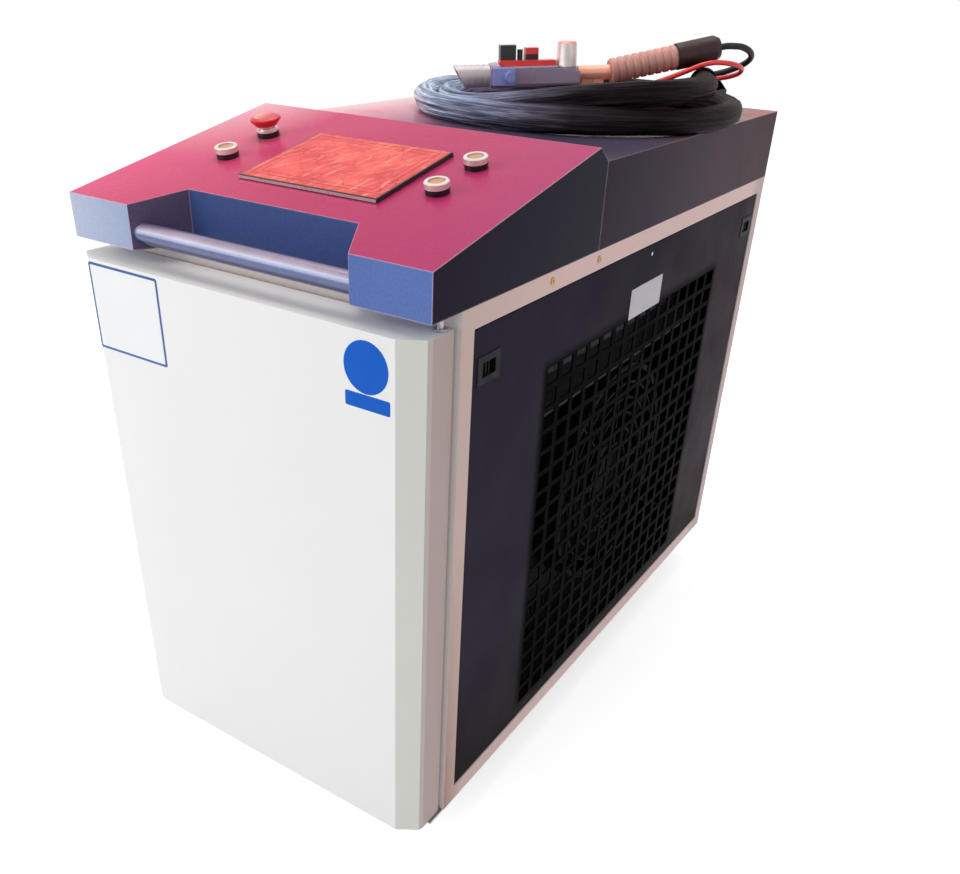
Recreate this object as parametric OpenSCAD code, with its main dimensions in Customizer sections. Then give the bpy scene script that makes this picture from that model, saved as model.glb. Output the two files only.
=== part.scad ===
// Laser cleaning machine: a wheeled cabinet that holds a water chiller and a laser source, with a
// sloping console in front, and a hand gun that lies in its coiled supply hose on the rear cover.
// Millimetres, +Z up, front at -Y, +X to the right of someone who faces the door. The origin is
// on the floor, below the middle of the machine.

/* [Cabinet] */
// Width over the side frames
body_w = 510; // [490:2:560]
// Depth from the door's face to the back of the frame
total_d = 1014; // [1000:2:1100]
// Front of the frame behind the door's face
frame_setback = 65; // [63:1:70]
// Floor to the underside of the frame
ride_h = 75; // [74:1:90]
// Height of the frame
frame_h = 690; // [680:2:740]
// Width of the frame's folded edges
rail_w = 24; // [22:1:28]
// Thickness of the folded sheet
sheet_t = 2; // [1.5:0.25:2.5]

/* [Console] */
// Front of the console behind the door's face
console_setback = 13; // [10:1:16]
// Height of the console's front block
block_h = 50; // [46:1:60]
// Front to ridge, level
console_len = 331; // [320:1:350]
// Rise of the slope from the block to the ridge
ridge_rise = 69; // [60:1:76]
// Level run of the drop behind the ridge
back_run = 22; // [18:1:28]
// Height of the drop behind the ridge
back_drop = 17; // [12:1:22]
// Width of the hand recess at the front
notch_w = 314; // [300:2:330]
// Width of the hand recess at its back wall
notch_back_w = 244; // [230:2:260]
// Depth of the hand recess
notch_d = 60; // [56:1:66]
// Diameter of the handle bar
bar_d = 24; // [20:1:26]
// Middle of the bar behind the console's front
bar_setback = 15; // [14:0.5:18]
// Middle of the bar above the console's underside
bar_up = 17; // [14:0.5:20]

/* [Controls] */
// Screen's place across
screen_x = 11; // [0:1:16]
// Screen's middle behind the console's front
screen_back = 178; // [170:1:186]
// Screen's width
screen_w = 197; // [180:1:200]
// Screen's length up the slope
screen_l = 147; // [136:1:150]
// How far the screen stands proud
screen_h = 5; // [4:0.5:8]
// Stop button's place across, to the left
stop_x = 156; // [150:1:166]
// Left push button's place across
left_x = 153; // [148:1:166]
// Right push buttons' place across
right_x = 153; // [146:1:160]
// Front row behind the console's front
row_front = 155; // [150:1:172]
// Rear row behind the console's front
row_rear = 230; // [224:1:250]
// Diameter of a push button's ring
ring_d = 28; // [26:0.5:30]
// Diameter of a push button's cap
cap_d = 19; // [17:0.5:20]
// Travel of a push button
press = 2.5; // [1.5:0.25:3]
// Diameter of the stop button's mushroom
mushroom_d = 38; // [35:1:42]
// Travel of the stop button
stop_press = 4; // [3:0.5:5]

/* [Door] */
// Height of the door
door_h = 672; // [660:1:674]
// Door's side in from the cabinet's side
door_in = 5; // [3:0.5:7]
// Width of a bevel
bevel_w = 28; // [22:1:34]
// Depth of the bevels
bevel_d = 19; // [15:1:24]
// Depth of the door
door_d = 59; // [57:1:60]
// Hinge pin's diameter
pin_d = 8; // [6:1:9]
// Hinge pin's place in from the door's side
pin_in = 10; // [9.5:0.5:11]

/* [Side panels] */
// Gap between a panel and the frame
panel_gap = 2; // [1.5:0.25:3]
// Panel's face behind the frame's face
panel_inset = 1; // [0.75:0.25:1.5]
// Depth of the panel's folded edges
pan_d = 15; // [12:1:16]
// Grille holes along the panel
hole_cols = 15; // [13:1:17]
// Grille holes up the panel
hole_rows = 18; // [16:1:19]
// Length of a grille hole
hole_l = 28; // [24:0.5:30]
// Height of a grille hole
hole_h = 22; // [18:0.5:24]
// Spacing of the holes along the panel
pitch_l = 38.2; // [36:0.2:40]
// Spacing of the holes up the panel
pitch_h = 29.4; // [27:0.2:30]
// Length of a latch's frame
latch_l = 46; // [42:1:50]
// Height of a latch's frame
latch_h = 32; // [28:1:36]
// Travel of a latch's slide
latch_travel = 7; // [5:0.5:8]

/* [Casters] */
// Wheel diameter
wheel_d = 50; // [46:1:52]
// Wheel width
wheel_w = 20; // [18:1:24]
// Casters' place across
caster_x = 150; // [140:2:160]
// Front casters behind the frame's front
caster_front = 112; // [104:2:130]
// Rear casters before the frame's back
caster_rear = 117; // [104:2:130]
// Swivel casters' trail
trail = 20; // [16:1:24]

/* [Supply hose and gun] */
// Diameter of the supply hose
hose_d = 34; // [30:1:36]
// Mean radius of the coil
coil_r = 224; // [222:1:226]
// Length of the gun without its lead
gun_l = 400; // [390:2:410]
// Diameter of the gun's nozzle
nozzle_d = 29; // [27:0.5:31]
// Diameter of the gun's motor cover
motor_d = 30; // [27:0.5:32]

/* [Cooling] */
// Fan diameter
fan_d = 340; // [320:2:350]
// Blades on the fan
blades = 7; // [5:1:9]

/* [Hidden] */
$fn = 48;

// Overrun of every cut, running clearance of a shaft, gap between seated pieces
over = 1;
run_gap = 0.05;
seat_gap = 0.3;

// Places that follow from the cabinet's sizes
half_w = body_w / 2;
door_y = -total_d / 2;
frame_y = door_y + frame_setback;
back_y = total_d / 2;
base_z = ride_h;
top_z = ride_h + frame_h;
in_x = half_w - sheet_t;
deck_x = half_w - panel_inset - pan_d - 3 * sheet_t;
console_y = door_y + console_setback;
ridge_y = console_y + console_len;
seam_y = ridge_y + back_run;
cover_z = top_z + block_h + ridge_rise - back_drop;
slope_a = atan(ridge_rise / console_len);
drop_a = atan(back_drop / back_run);
seam_gap = 1;
door_w = body_w - 2 * door_in;
face_w = door_w - 2 * bevel_w;

function slope_z(back) = top_z + block_h + back * ridge_rise / console_len;

module on_slope(x, back) {
    translate([x, console_y + back, slope_z(back)]) rotate([slope_a, 0, 0]) children();
}

// A box from its lowest and highest corners
module block(low, high) {
    translate(low) cube(high - low);
}

// A prism across the machine, from an outline of depth and height
module across(points, width) {
    translate([-width / 2, 0, 0]) rotate([90, 0, 90]) linear_extrude(width) polygon(points);
}

// Both sides of the machine
module mirrored() {
    children();
    mirror([1, 0, 0]) children();
}

// Frame: one welded box of folded edges
screw_z = top_z - 11;
screw_d = 4;
screw_head_d = 9;
screw_head_h = 1;
screw_y_shares = [0.72, 1.08];
function screw_y(i) = console_y + screw_y_shares[i] * console_len;

module frame_box(inset) {
    block([-half_w + inset, frame_y + inset, base_z + inset],
        [half_w - inset, back_y - inset, top_z - inset]);
}

module cabinet_frame() {
    color("linen") difference() {
        frame_box(0);
        frame_box(sheet_t);
        block([-half_w - over, frame_y + rail_w, base_z + rail_w],
            [half_w + over, back_y - rail_w, top_z - rail_w]);
        block([-half_w + rail_w, frame_y - over, base_z + rail_w],
            [half_w - rail_w, back_y + over, top_z - rail_w]);
        block([-half_w + rail_w, frame_y + rail_w, base_z - over],
            [half_w - rail_w, back_y - rail_w, top_z + over]);
        mirrored() for (i = [0, 1]) screw_hole(i);
        mirrored() for (y = tab_ys) block([in_x - sheet_t - 2 * seat_gap, y - seat_gap, top_z - 2 * sheet_t],
            [in_x, y + tab_l + seat_gap, top_z + over]);
    }
}

// The console and the cover hang on tabs that reach down through slots in the frame's top
tab_l = 26;
tab_h = 18;
tab_up = 10;
tab_ys = [screw_y(0) - tab_l / 2, seam_y + seam_gap, back_y - 2 * rail_w - tab_l];

module tab(i) {
    inner = in_x - seat_gap - sheet_t;
    block([inner, tab_ys[i], top_z - tab_h], [in_x - seat_gap, tab_ys[i] + tab_l, top_z + tab_up]);
    block([inner, tab_ys[i], top_z + seat_gap], [in_x + over, tab_ys[i] + tab_l, top_z + tab_up]);
}

module screw_hole(i) {
    translate([in_x - 2 * sheet_t, screw_y(i), screw_z]) rotate([0, 90, 0])
        cylinder(d = screw_d + seat_gap, h = 4 * sheet_t);
}

module cover_screws() {
    color("goldenrod") mirrored() for (i = [0, 1]) translate([half_w, screw_y(i), screw_z])
        rotate([0, 90, 0]) difference() {
            union() {
                cylinder(d = screw_head_d, h = screw_head_h);
                translate([0, 0, -3 * sheet_t]) cylinder(d = screw_d, h = 3 * sheet_t + over / 2);
            }
            translate([0, 0, screw_head_h / 2]) cylinder(d = screw_d, h = over, $fn = 6);
        }
}

// Floor pan: a shallow tray on the frame's lower flanges
tray_t = 3;
tray_h = 15;
tray_x = half_w - rail_w / 2 + 2;
tray_y0 = frame_y + rail_w / 2;
tray_y1 = back_y - rail_w / 2;
tray_z = base_z + sheet_t;
floor_z = tray_z + tray_t;

module base_pan() {
    color("dimgray") difference() {
        block([-tray_x, tray_y0, tray_z], [tray_x, tray_y1, tray_z + tray_h]);
        block([-tray_x + sheet_t, tray_y0 + sheet_t, floor_z],
            [tray_x - sheet_t, tray_y1 - sheet_t, tray_z + tray_h + over]);
        for (x = [-0.5, 0.5]) for (i = [0:5]) translate([x * tray_x,
            tray_y0 + (i + 1) * (tray_y1 - tray_y0) / 7, tray_z - over])
            block([-slot_l / 2, -slot_w / 2, 0], [slot_l / 2, slot_w / 2, tray_t + 2 * over]);
    }
}
slot_l = 90;
slot_w = 7;

// Rear panel with vent slots and a recessed tray for the connections
rear_y = back_y - sheet_t;
recess_w = 230;
recess_h = 96;
recess_d = 24;
recess_z = base_z + 60;
vent_rows = 14;
vent_w = 150;
vent_h = 7;
vent_step = 21;
vent_z = top_z - 360;

module rear_panel() {
    x1 = in_x - seat_gap;
    color("midnightblue") difference() {
        union() {
            block([-x1, rear_y - sheet_t, floor_z + tray_h], [x1, rear_y, top_z - sheet_t]);
            block([-recess_w / 2 - sheet_t, rear_y - recess_d - sheet_t, recess_z - sheet_t],
                [recess_w / 2 + sheet_t, rear_y, recess_z + recess_h + sheet_t]);
        }
        block([-recess_w / 2, rear_y - recess_d, recess_z],
            [recess_w / 2, rear_y + over, recess_z + recess_h]);
        for (i = [0:vent_rows - 1]) for (x = [-0.55, 0.55]) translate([x * vent_w * 1.02, 0, vent_z + i * vent_step])
            vent_slot();
        for (x = fitting_xs) translate([x, rear_y - recess_d - 2 * sheet_t, recess_z + recess_h / 2])
            rotate([-90, 0, 0]) cylinder(d = fitting_d, h = 3 * sheet_t);
    }
}

module vent_slot() {
    hull_w = vent_w - vent_h;
    rotate([90, 0, 0]) translate([0, 0, -rear_y - over]) linear_extrude(sheet_t + 2 * over) union() {
        square([hull_w, vent_h], center = true);
        for (s = [-1, 1]) translate([s * hull_w / 2, 0]) circle(d = vent_h);
    }
}

// Connections in the recess: mains gland, gas inlet, drain tap
fitting_d = 14;
fitting_xs = [-70, 0, 70];
nut_d = 26;
nut_h = 7;
gas_bore_d = 8;
gas_l = 20;
gas_d = 16;

module rear_fittings() {
    color("gold") for (i = [0:2]) translate([fitting_xs[i], rear_y - recess_d, recess_z + recess_h / 2])
        rotate([-90, 0, 0]) difference() {
            union() {
                translate([0, 0, -4 * sheet_t]) cylinder(d = fitting_d, h = 5 * sheet_t);
                cylinder(d = nut_d, h = nut_h, $fn = 6);
                if (i == 0) translate([0, 0, nut_h]) cylinder(d1 = nut_d - 4, d2 = gas_d, h = gas_l - nut_h);
                if (i == 1) cylinder(d = gas_d, h = gas_l);
                if (i == 2) cylinder(d = nut_d - 6, h = gas_l - 2);
            }
            if (i < 2) translate([0, 0, gas_l - 2 * gas_bore_d])
                cylinder(d = gas_bore_d, h = 2 * gas_bore_d + over);
            if (i == 2) translate([0, 0, gas_l - 2 - nut_h / 2])
                cylinder(d = gas_bore_d, h = nut_h, $fn = 6);
        }
}

// Console: a folded shell with a hand recess and a sloping top
wall_out = sheet_t / cos(slope_a);
wall_back = sheet_t / cos(drop_a);

module notch(grow) {
    translate([0, 0, top_z - over]) linear_extrude(block_h + ridge_rise + 2 * over) polygon([
        [-notch_w / 2 - grow, console_y - over],
        [-notch_back_w / 2 - grow, console_y + notch_d + grow],
        [notch_back_w / 2 + grow, console_y + notch_d + grow],
        [notch_w / 2 + grow, console_y - over]]);
}

module console_inside() {
    lip_y = frame_y + rail_w;
    across([[console_y + sheet_t, top_z + sheet_t],
        [lip_y, top_z + sheet_t],
        [lip_y, top_z - over],
        [seam_y + over, top_z - over],
        [seam_y + over, cover_z - wall_back],
        [ridge_y, slope_z(console_len) - wall_back],
        [console_y + sheet_t, slope_z(sheet_t) - wall_out]], body_w - 2 * sheet_t);
}

module console_shell() {
    color("mediumvioletred") difference() {
        union() {
            difference() {
                across([[console_y, top_z], [seam_y, top_z], [seam_y, cover_z],
                    [ridge_y, slope_z(console_len)], [console_y, slope_z(0)]], body_w);
                notch(0);
                difference() {
                    console_inside();
                    notch(sheet_t);
                }
            }
            mirrored() tab(0);
        }
        for (p = button_places) on_slope(p[0], p[1]) control_hole();
        on_slope(-stop_x, row_rear) control_hole();
        on_slope(screen_x, screen_back) translate([0, 0, -screen_deep])
            block([-screen_w / 2 + screen_lip, -screen_l / 2 + screen_lip, 0],
                [screen_w / 2 - screen_lip, screen_l / 2 - screen_lip, 2 * screen_deep]);
        mirrored() for (i = [0, 1]) screw_hole(i);
    }
}

module control_hole() {
    translate([0, 0, -2 * wall_out]) cylinder(d = barrel_d + 2 * run_gap, h = 4 * wall_out);
}

module handle_bar() {
    color("midnightblue") intersection() {
        translate([-notch_w / 2, console_y + bar_setback, top_z + bar_up]) rotate([0, 90, 0])
            cylinder(d = bar_d, h = notch_w);
        notch(0);
    }
}

// Rear cover: a five-sided shell behind the console
module rear_cover() {
    color("mediumvioletred") difference() {
        union() {
            difference() {
                block([-half_w, seam_y + seam_gap, top_z], [half_w, back_y, cover_z]);
                block([-in_x, seam_y - over, top_z - over], [in_x, back_y - sheet_t, cover_z - sheet_t]);
            }
            mirrored() for (i = [1, 2]) tab(i);
        }
        translate([outlet_x + outlet_l / 2, outlet_y, cover_z - 2 * sheet_t])
            cylinder(d = hose_d, h = 4 * sheet_t);
        mirrored() screw_hole(1);
    }
}

// Screen unit
screen_lip = 9;
screen_deep = 24;
screen_edge = 14;
screen_sink = 1.5;

module screen_unit() {
    color("dimgray") on_slope(screen_x, screen_back) difference() {
        union() {
            block([-screen_w / 2, -screen_l / 2, 0], [screen_w / 2, screen_l / 2, screen_h]);
            block([-screen_w / 2 + screen_lip + seat_gap, -screen_l / 2 + screen_lip + seat_gap, -screen_deep],
                [screen_w / 2 - screen_lip - seat_gap, screen_l / 2 - screen_lip - seat_gap, over]);
        }
        block([-screen_w / 2 + screen_edge, -screen_l / 2 + screen_edge, screen_h - screen_sink],
            [screen_w / 2 - screen_edge, screen_l / 2 - screen_edge, screen_h + over]);
        for (s = [-1, 1]) translate([0, s * (screen_l / 2 + over), screen_h])
            rotate([45, 0, 0]) block([-screen_w, -screen_sink, -screen_sink], [screen_w, screen_sink, screen_sink]);
    }
}

// Push buttons: a fixed ring with a threaded barrel, and a cap that travels in it
barrel_d = 22;
barrel_l = 24;
ring_h = 8;
collar_h = 5;
ring_round = 1;
cap_sink = 1.5;
cap_stem_d = 12;
button_places = [[-left_x, row_front], [right_x, row_front], [right_x, row_rear]];

module button_collars() {
    color("silver") for (p = button_places) on_slope(p[0], p[1]) rotate_extrude() polygon([
        [cap_d / 2 + run_gap, ring_h + collar_h],
        [ring_d / 2 - ring_round, ring_h + collar_h],
        [ring_d / 2, ring_h + collar_h - ring_round],
        [ring_d / 2, collar_h],
        [ring_d / 2 - ring_round / 2, collar_h],
        [ring_d / 2 - ring_round / 2, 0],
        [barrel_d / 2, 0],
        [barrel_d / 2, -barrel_l],
        [cap_stem_d / 2 + run_gap, -barrel_l],
        [cap_stem_d / 2 + run_gap, collar_h - press],
        [cap_d / 2 + run_gap, collar_h - press]]);
}

module button_cap(i) {
    bottom = collar_h - press;
    on_slope(button_places[i][0], button_places[i][1]) rotate_extrude() polygon([
        [0, ring_h + collar_h - cap_sink],
        [cap_d / 2 - ring_round, ring_h + collar_h - cap_sink],
        [cap_d / 2, ring_h + collar_h - cap_sink - ring_round],
        [cap_d / 2, bottom + press + run_gap],
        [cap_stem_d / 2, bottom + press + run_gap],
        [cap_stem_d / 2, -barrel_l + press + run_gap],
        [0, -barrel_l + press + run_gap]]);
}

module button_left() {
    color("tan") button_cap(0);
}

module button_front() {
    color("tan") button_cap(1);
}

module button_rear() {
    color("tan") button_cap(2);
}

// Stop button: the stem is pushed in, and the head turns on the stem to let go
stop_foot_d = 28;
stop_foot_h = 5.5;
stop_collar_d = 27;
stop_collar_h = 9;
stop_floor = 2;
stop_neck_d = 21;
stop_stem_d = 16;
stop_peg_d = 10;
stop_peg_h = 6;
stop_low = stop_collar_h + stop_press + seat_gap;
cone_h = 5;
edge_h = 3;
head_h = 10.5;
head_flat = 5;

module stop_base() {
    color("silver") on_slope(-stop_x, row_rear) rotate_extrude() polygon([
        [stop_neck_d / 2 + run_gap, stop_collar_h],
        [stop_collar_d / 2 - over / 2, stop_collar_h],
        [stop_collar_d / 2, stop_collar_h - over / 2],
        [stop_collar_d / 2, stop_foot_h],
        [stop_foot_d / 2, stop_foot_h],
        [stop_foot_d / 2, 0],
        [barrel_d / 2, 0],
        [barrel_d / 2, -barrel_l],
        [stop_stem_d / 2 + run_gap, -barrel_l],
        [stop_stem_d / 2 + run_gap, stop_floor],
        [stop_neck_d / 2 + run_gap, stop_floor]]);
}

module stop_stem() {
    color("black") on_slope(-stop_x, row_rear) rotate_extrude() polygon([
        [0, stop_low + stop_peg_h],
        [stop_peg_d / 2, stop_low + stop_peg_h],
        [stop_peg_d / 2, stop_low],
        [stop_neck_d / 2, stop_low],
        [stop_neck_d / 2, stop_floor + stop_press + seat_gap],
        [stop_stem_d / 2, stop_floor + stop_press + seat_gap],
        [stop_stem_d / 2, -barrel_l + stop_press],
        [0, -barrel_l + stop_press]]);
}

module stop_head() {
    low = stop_low + run_gap;
    color("red") on_slope(-stop_x, row_rear) rotate_extrude() polygon([
        [0, low + stop_peg_h + run_gap],
        [stop_peg_d / 2 + run_gap, low + stop_peg_h + run_gap],
        [stop_peg_d / 2 + run_gap, low],
        [stop_collar_d / 2, low],
        [mushroom_d / 2 - over, low + cone_h],
        [mushroom_d / 2, low + cone_h + over],
        [mushroom_d / 2, low + cone_h + edge_h],
        [mushroom_d / 2 - over, low + cone_h + edge_h + over],
        [mushroom_d / 2 - head_flat, low + head_h],
        [0, low + head_h]]);
}

// Door: a folded tray with bevelled sides that turns on a pin above and below
door_z0 = base_z + over;
door_z1 = door_z0 + door_h;
chamfer = 4;
door_lip = 18;
pin_x = door_w / 2 - pin_in;
pin_y = door_y + door_d - pin_in;
boss_d = 17;
boss_h = 12;

function door_outline(inset) = [
    [-door_w / 2 + inset, door_y + door_d + (inset > 0 ? -inset : 0)],
    [-door_w / 2 + inset, door_y + bevel_d + chamfer + inset / 2],
    [-door_w / 2 + chamfer / 2 + inset * 0.7, door_y + bevel_d - chamfer / 2 + inset * 0.7],
    [-face_w / 2 + inset / 2, door_y + inset],
    [face_w / 2 - inset / 2, door_y + inset],
    [door_w / 2 - chamfer / 2 - inset * 0.7, door_y + bevel_d - chamfer / 2 + inset * 0.7],
    [door_w / 2 - inset, door_y + bevel_d + chamfer + inset / 2],
    [door_w / 2 - inset, door_y + door_d + (inset > 0 ? -inset : 0)]];

module front_door() {
    color("whitesmoke") difference() {
        union() {
            difference() {
                translate([0, 0, door_z0]) linear_extrude(door_h) polygon(door_outline(0));
                translate([0, 0, door_z0 + sheet_t]) linear_extrude(door_h - 2 * sheet_t)
                    polygon(door_outline(sheet_t));
                block([-door_w / 2 + door_lip, door_y + door_d / 2, door_z0 + door_lip],
                    [door_w / 2 - door_lip - boss_d / 2, door_y + door_d + over, door_z1 - door_lip]);
            }
            for (z = [door_z0, door_z1 - boss_h]) translate([pin_x, pin_y, z]) cylinder(d = boss_d, h = boss_h);
            block([-door_w / 2 + 2 * door_lip, door_y + sheet_t / 2, (door_z0 + door_z1) / 2 - door_lip],
                [door_w / 2 - 3 * door_lip, door_y + door_lip, (door_z0 + door_z1) / 2 + door_lip]);
        }
        for (z = [door_z0, door_z1 - boss_h]) translate([pin_x, pin_y, z - over])
            cylinder(d = pin_d + 2 * run_gap, h = boss_h + 2 * over);
    }
}

bracket_t = 3;
bracket_w = 26;
pin_head_d = 15;
pin_head_h = 4;

module hinge_pins() {
    color("dimgray") union() {
        block([pin_x - bracket_w / 2, pin_y - bracket_w / 2, base_z - bracket_t],
            [pin_x + bracket_w / 2, frame_y + rail_w, base_z]);
        translate([pin_x, pin_y, base_z - bracket_t]) cylinder(d = pin_d, h = bracket_t + boss_h);
    }
    color("dimgray") union() {
        translate([pin_x, pin_y, door_z1 - boss_h + over]) cylinder(d = pin_d, h = top_z - door_z1 + boss_h - over);
        translate([pin_x, pin_y, top_z - pin_head_h]) cylinder(d = pin_head_d, h = pin_head_h);
        translate([pin_x, pin_y, door_z1 + seat_gap]) cylinder(d = pin_head_d, h = pin_head_h / 2);
    }
}

// Magnet catches on the frame that hold the door's free edge
catch_w = 12;
catch_h = 46;
catch_up_shares = [0.2, 0.8];

module door_catches() {
    x = -door_w / 2 + door_lip / 2;
    color("dimgray") for (s = catch_up_shares) translate([x, 0, base_z + s * frame_h]) difference() {
        block([-catch_w / 2, door_y + door_d + seat_gap, -catch_h / 2], [catch_w / 2, frame_y, catch_h / 2]);
        for (z = [-0.3, 0.3]) translate([0, door_y + door_d, z * catch_h]) rotate([-90, 0, 0])
            cylinder(d = screw_d, h = 4 * sheet_t);
    }
}

// Side panels: pans that stand in the side windows and tilt out over the lower rail
win_y0 = frame_y + rail_w;
win_y1 = back_y - rail_w;
win_z0 = base_z + rail_w;
win_z1 = top_z - rail_w;
pan_x = half_w - panel_inset;
pan_y0 = win_y0 + panel_gap;
pan_y1 = win_y1 - panel_gap;
pan_z0 = win_z0 + seat_gap;
pan_z1 = win_z1 - panel_gap;
grille_shift = 4;
grille_drop = 35;
hook_w = 40;
hook_h = 9;
latch_in = 33;
latch_down = 50;
latch_t = 1;
latch_deep = 14;
latch_rim = 3;
latch_y0 = win_y0 + latch_in;
latch_y1 = win_y1 - latch_in;
latch_z = win_z1 - latch_down;

module grille_holes() {
    y0 = (pan_y0 + pan_y1) / 2 + grille_shift - (hole_cols - 1) * pitch_l / 2;
    z0 = (win_z0 + win_z1) / 2 - grille_drop - (hole_rows - 1) * pitch_h / 2;
    translate([pan_x - sheet_t - over, 0, 0]) rotate([90, 0, 90]) linear_extrude(sheet_t + 2 * over)
        for (i = [0:hole_cols - 1]) for (j = [0:hole_rows - 1])
            translate([y0 + i * pitch_l, z0 + j * pitch_h]) square([hole_l, hole_h], center = true);
}

module side_panel() {
    color("darkslateblue") union() {
        panel_pan();
        translate([pan_x - sheet_t, pan_y0, pan_z0 + sheet_t]) rotate([-90, 0, 0])
            cylinder(r = sheet_t, h = pan_y1 - pan_y0);
    }
}

module panel_pan() {
    difference() {
        union() {
            difference() {
                block([pan_x - pan_d, pan_y0, pan_z0], [pan_x, pan_y1, pan_z1]);
                block([pan_x - pan_d - over, pan_y0 + sheet_t, pan_z0 + sheet_t],
                    [pan_x - sheet_t, pan_y1 - sheet_t, pan_z1 - sheet_t]);
            }
            for (y = [pan_y0 + 2 * hook_w, pan_y1 - 2 * hook_w])
                block([in_x - seat_gap - sheet_t, y - hook_w / 2, pan_z0 - hook_h],
                    [in_x - seat_gap, y + hook_w / 2, pan_z0 + sheet_t]);
        }
        grille_holes();
        for (y = [latch_y0, latch_y1]) translate([0, y, latch_z])
            block([pan_x - pan_d, -latch_l / 2 + latch_rim, -latch_h / 2 + latch_rim],
                [pan_x + over, latch_l / 2 - latch_rim, latch_h / 2 - latch_rim]);
        block([pan_x - sheet_t, pan_y0 - over, pan_z0 - over], [pan_x + over, pan_y1 + over, pan_z0 + sheet_t]);
    }
}

module side_panel_right() {
    side_panel();
}

module side_panel_left() {
    mirror([1, 0, 0]) side_panel();
}

// Flush slide latches in the panels' upper corners
thumb_l = 19;
thumb_h = 16;
thumb_t = 5;
thumb_ridge = 2;
bolt_h = 7;
bolt_t = 3;
pocket_l = thumb_l + latch_travel + 2 * seat_gap;
pocket_t = 9;

// The pocket is longer than the slide by its travel. side is -1 at the front corner, 1 at the rear
module latch_frame() {
    rim = latch_rim + seat_gap;
    difference() {
        union() {
            block([pan_x, -latch_l / 2, -latch_h / 2], [pan_x + latch_t, latch_l / 2, latch_h / 2]);
            block([pan_x - latch_deep + latch_t, -latch_l / 2 + rim, -latch_h / 2 + rim],
                [pan_x + latch_t / 2, latch_l / 2 - rim, latch_h / 2 - rim]);
        }
        block([pan_x - pocket_t, -pocket_l / 2, -thumb_h / 2 - seat_gap],
            [pan_x + latch_t + over, pocket_l / 2, thumb_h / 2 + seat_gap]);
        block([pan_x - pocket_t, -latch_l, -bolt_h / 2 - seat_gap],
            [pan_x - pocket_t + bolt_t + 2 * seat_gap, latch_l, bolt_h / 2 + seat_gap]);
    }
}

module latch_frames() {
    color("black") for (y = [latch_y0, latch_y1]) translate([0, y, latch_z]) latch_frame();
}

module latch_frames_right() {
    latch_frames();
}

module latch_frames_left() {
    mirror([1, 0, 0]) latch_frames();
}

// A slide rests at its outer end, with its bolt up to the panel's folded edge
module latch_slide(side) {
    y = side < 0 ? latch_y0 : latch_y1;
    edge = side < 0 ? pan_y0 + sheet_t + seat_gap - y : y - pan_y1 + sheet_t + seat_gap;
    start = pocket_l / 2 - seat_gap;
    x = pan_x - pocket_t + seat_gap;
    color("black") translate([0, y, latch_z]) mirror([0, side < 0 ? 0 : 1, 0]) union() {
        block([x, -start, -thumb_h / 2], [x + thumb_t, -start + thumb_l, thumb_h / 2]);
        for (i = [0:2]) block([x, -start + (i + 0.5) * thumb_l / 3, -thumb_h / 2],
            [x + thumb_t + thumb_ridge, -start + (i + 0.5) * thumb_l / 3 + thumb_ridge, thumb_h / 2]);
        block([x, edge, -bolt_h / 2], [x + bolt_t, -start + thumb_ridge, bolt_h / 2]);
    }
}

module latch_slide_right_front() {
    latch_slide(-1);
}

module latch_slide_right_rear() {
    latch_slide(1);
}

module latch_slide_left_front() {
    mirror([1, 0, 0]) latch_slide(-1);
}

module latch_slide_left_rear() {
    mirror([1, 0, 0]) latch_slide(1);
}

// Casters: two swivel in front, two fixed behind
plate_t = 3;
plate_l = 80;
plate_w = 62;
race_d = 46;
race_h = 7;
king_d = 10;
race_in = 2;
nut_over = 6;
fork_t = 3;
fork_in = wheel_w / 2 + 1.5;
fork_w = 30;
axle_d = 8;
axle_z = wheel_d / 2;
caster_y0 = frame_y + caster_front;
caster_y1 = back_y - caster_rear;
race_z = tray_z - plate_t - race_h;
crown_z = race_z - fork_t - seat_gap;

module fork_cheeks(top) {
    difference() {
        union() {
            for (s = [-1, 1]) translate([s * (fork_in + fork_t / 2), 0, 0]) rotate([90, 0, 90])
                translate([0, 0, -fork_t / 2]) linear_extrude(fork_t) polygon([
                    [-race_d / 2 + trail, top], [race_d / 2 + trail, top],
                    [fork_w / 2 - fork_t, axle_z - fork_w / 4], [-fork_w / 2 + fork_t, axle_z - fork_w / 4]]);
            translate([0, trail, 0]) block([-race_d / 2, -race_d / 2, top - fork_t], [race_d / 2, race_d / 2, top]);
        }
    }
    translate([-fork_in - 2 * fork_t, 0, axle_z]) rotate([0, 90, 0])
        cylinder(d = axle_d, h = 2 * fork_in + 4 * fork_t);
}

module caster_bases() {
    color("silver") {
        for (s = [-1, 1]) translate([s * caster_x, caster_y0, 0]) union() {
            block([-plate_w / 2, -plate_l / 2, tray_z - plate_t], [plate_w / 2, plate_l / 2, tray_z]);
            translate([0, 0, race_z]) cylinder(d1 = race_d - 2 * race_in, d2 = race_d, h = race_h);
            translate([0, 0, crown_z - fork_t]) cylinder(d = king_d, h = race_z - crown_z + 2 * fork_t);
            translate([0, 0, crown_z - fork_t - seat_gap]) cylinder(d = king_d + nut_over, h = fork_t, $fn = 6);
        }
        for (s = [-1, 1]) translate([s * caster_x, caster_y1 - trail, 0]) union() {
            translate([0, trail, 0]) block([-plate_w / 2, -plate_l / 2, tray_z - plate_t],
                [plate_w / 2, plate_l / 2, tray_z]);
            fork_cheeks(tray_z - plate_t);
        }
    }
}

module caster_fork(side) {
    color("silver") translate([side * caster_x, caster_y0 - trail, 0]) difference() {
        fork_cheeks(crown_z + fork_t);
        translate([0, trail, crown_z - fork_t]) cylinder(d = king_d + 2 * run_gap, h = 3 * fork_t);
    }
}

module caster_fork_right() {
    caster_fork(1);
}

module caster_fork_left() {
    caster_fork(-1);
}

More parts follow.
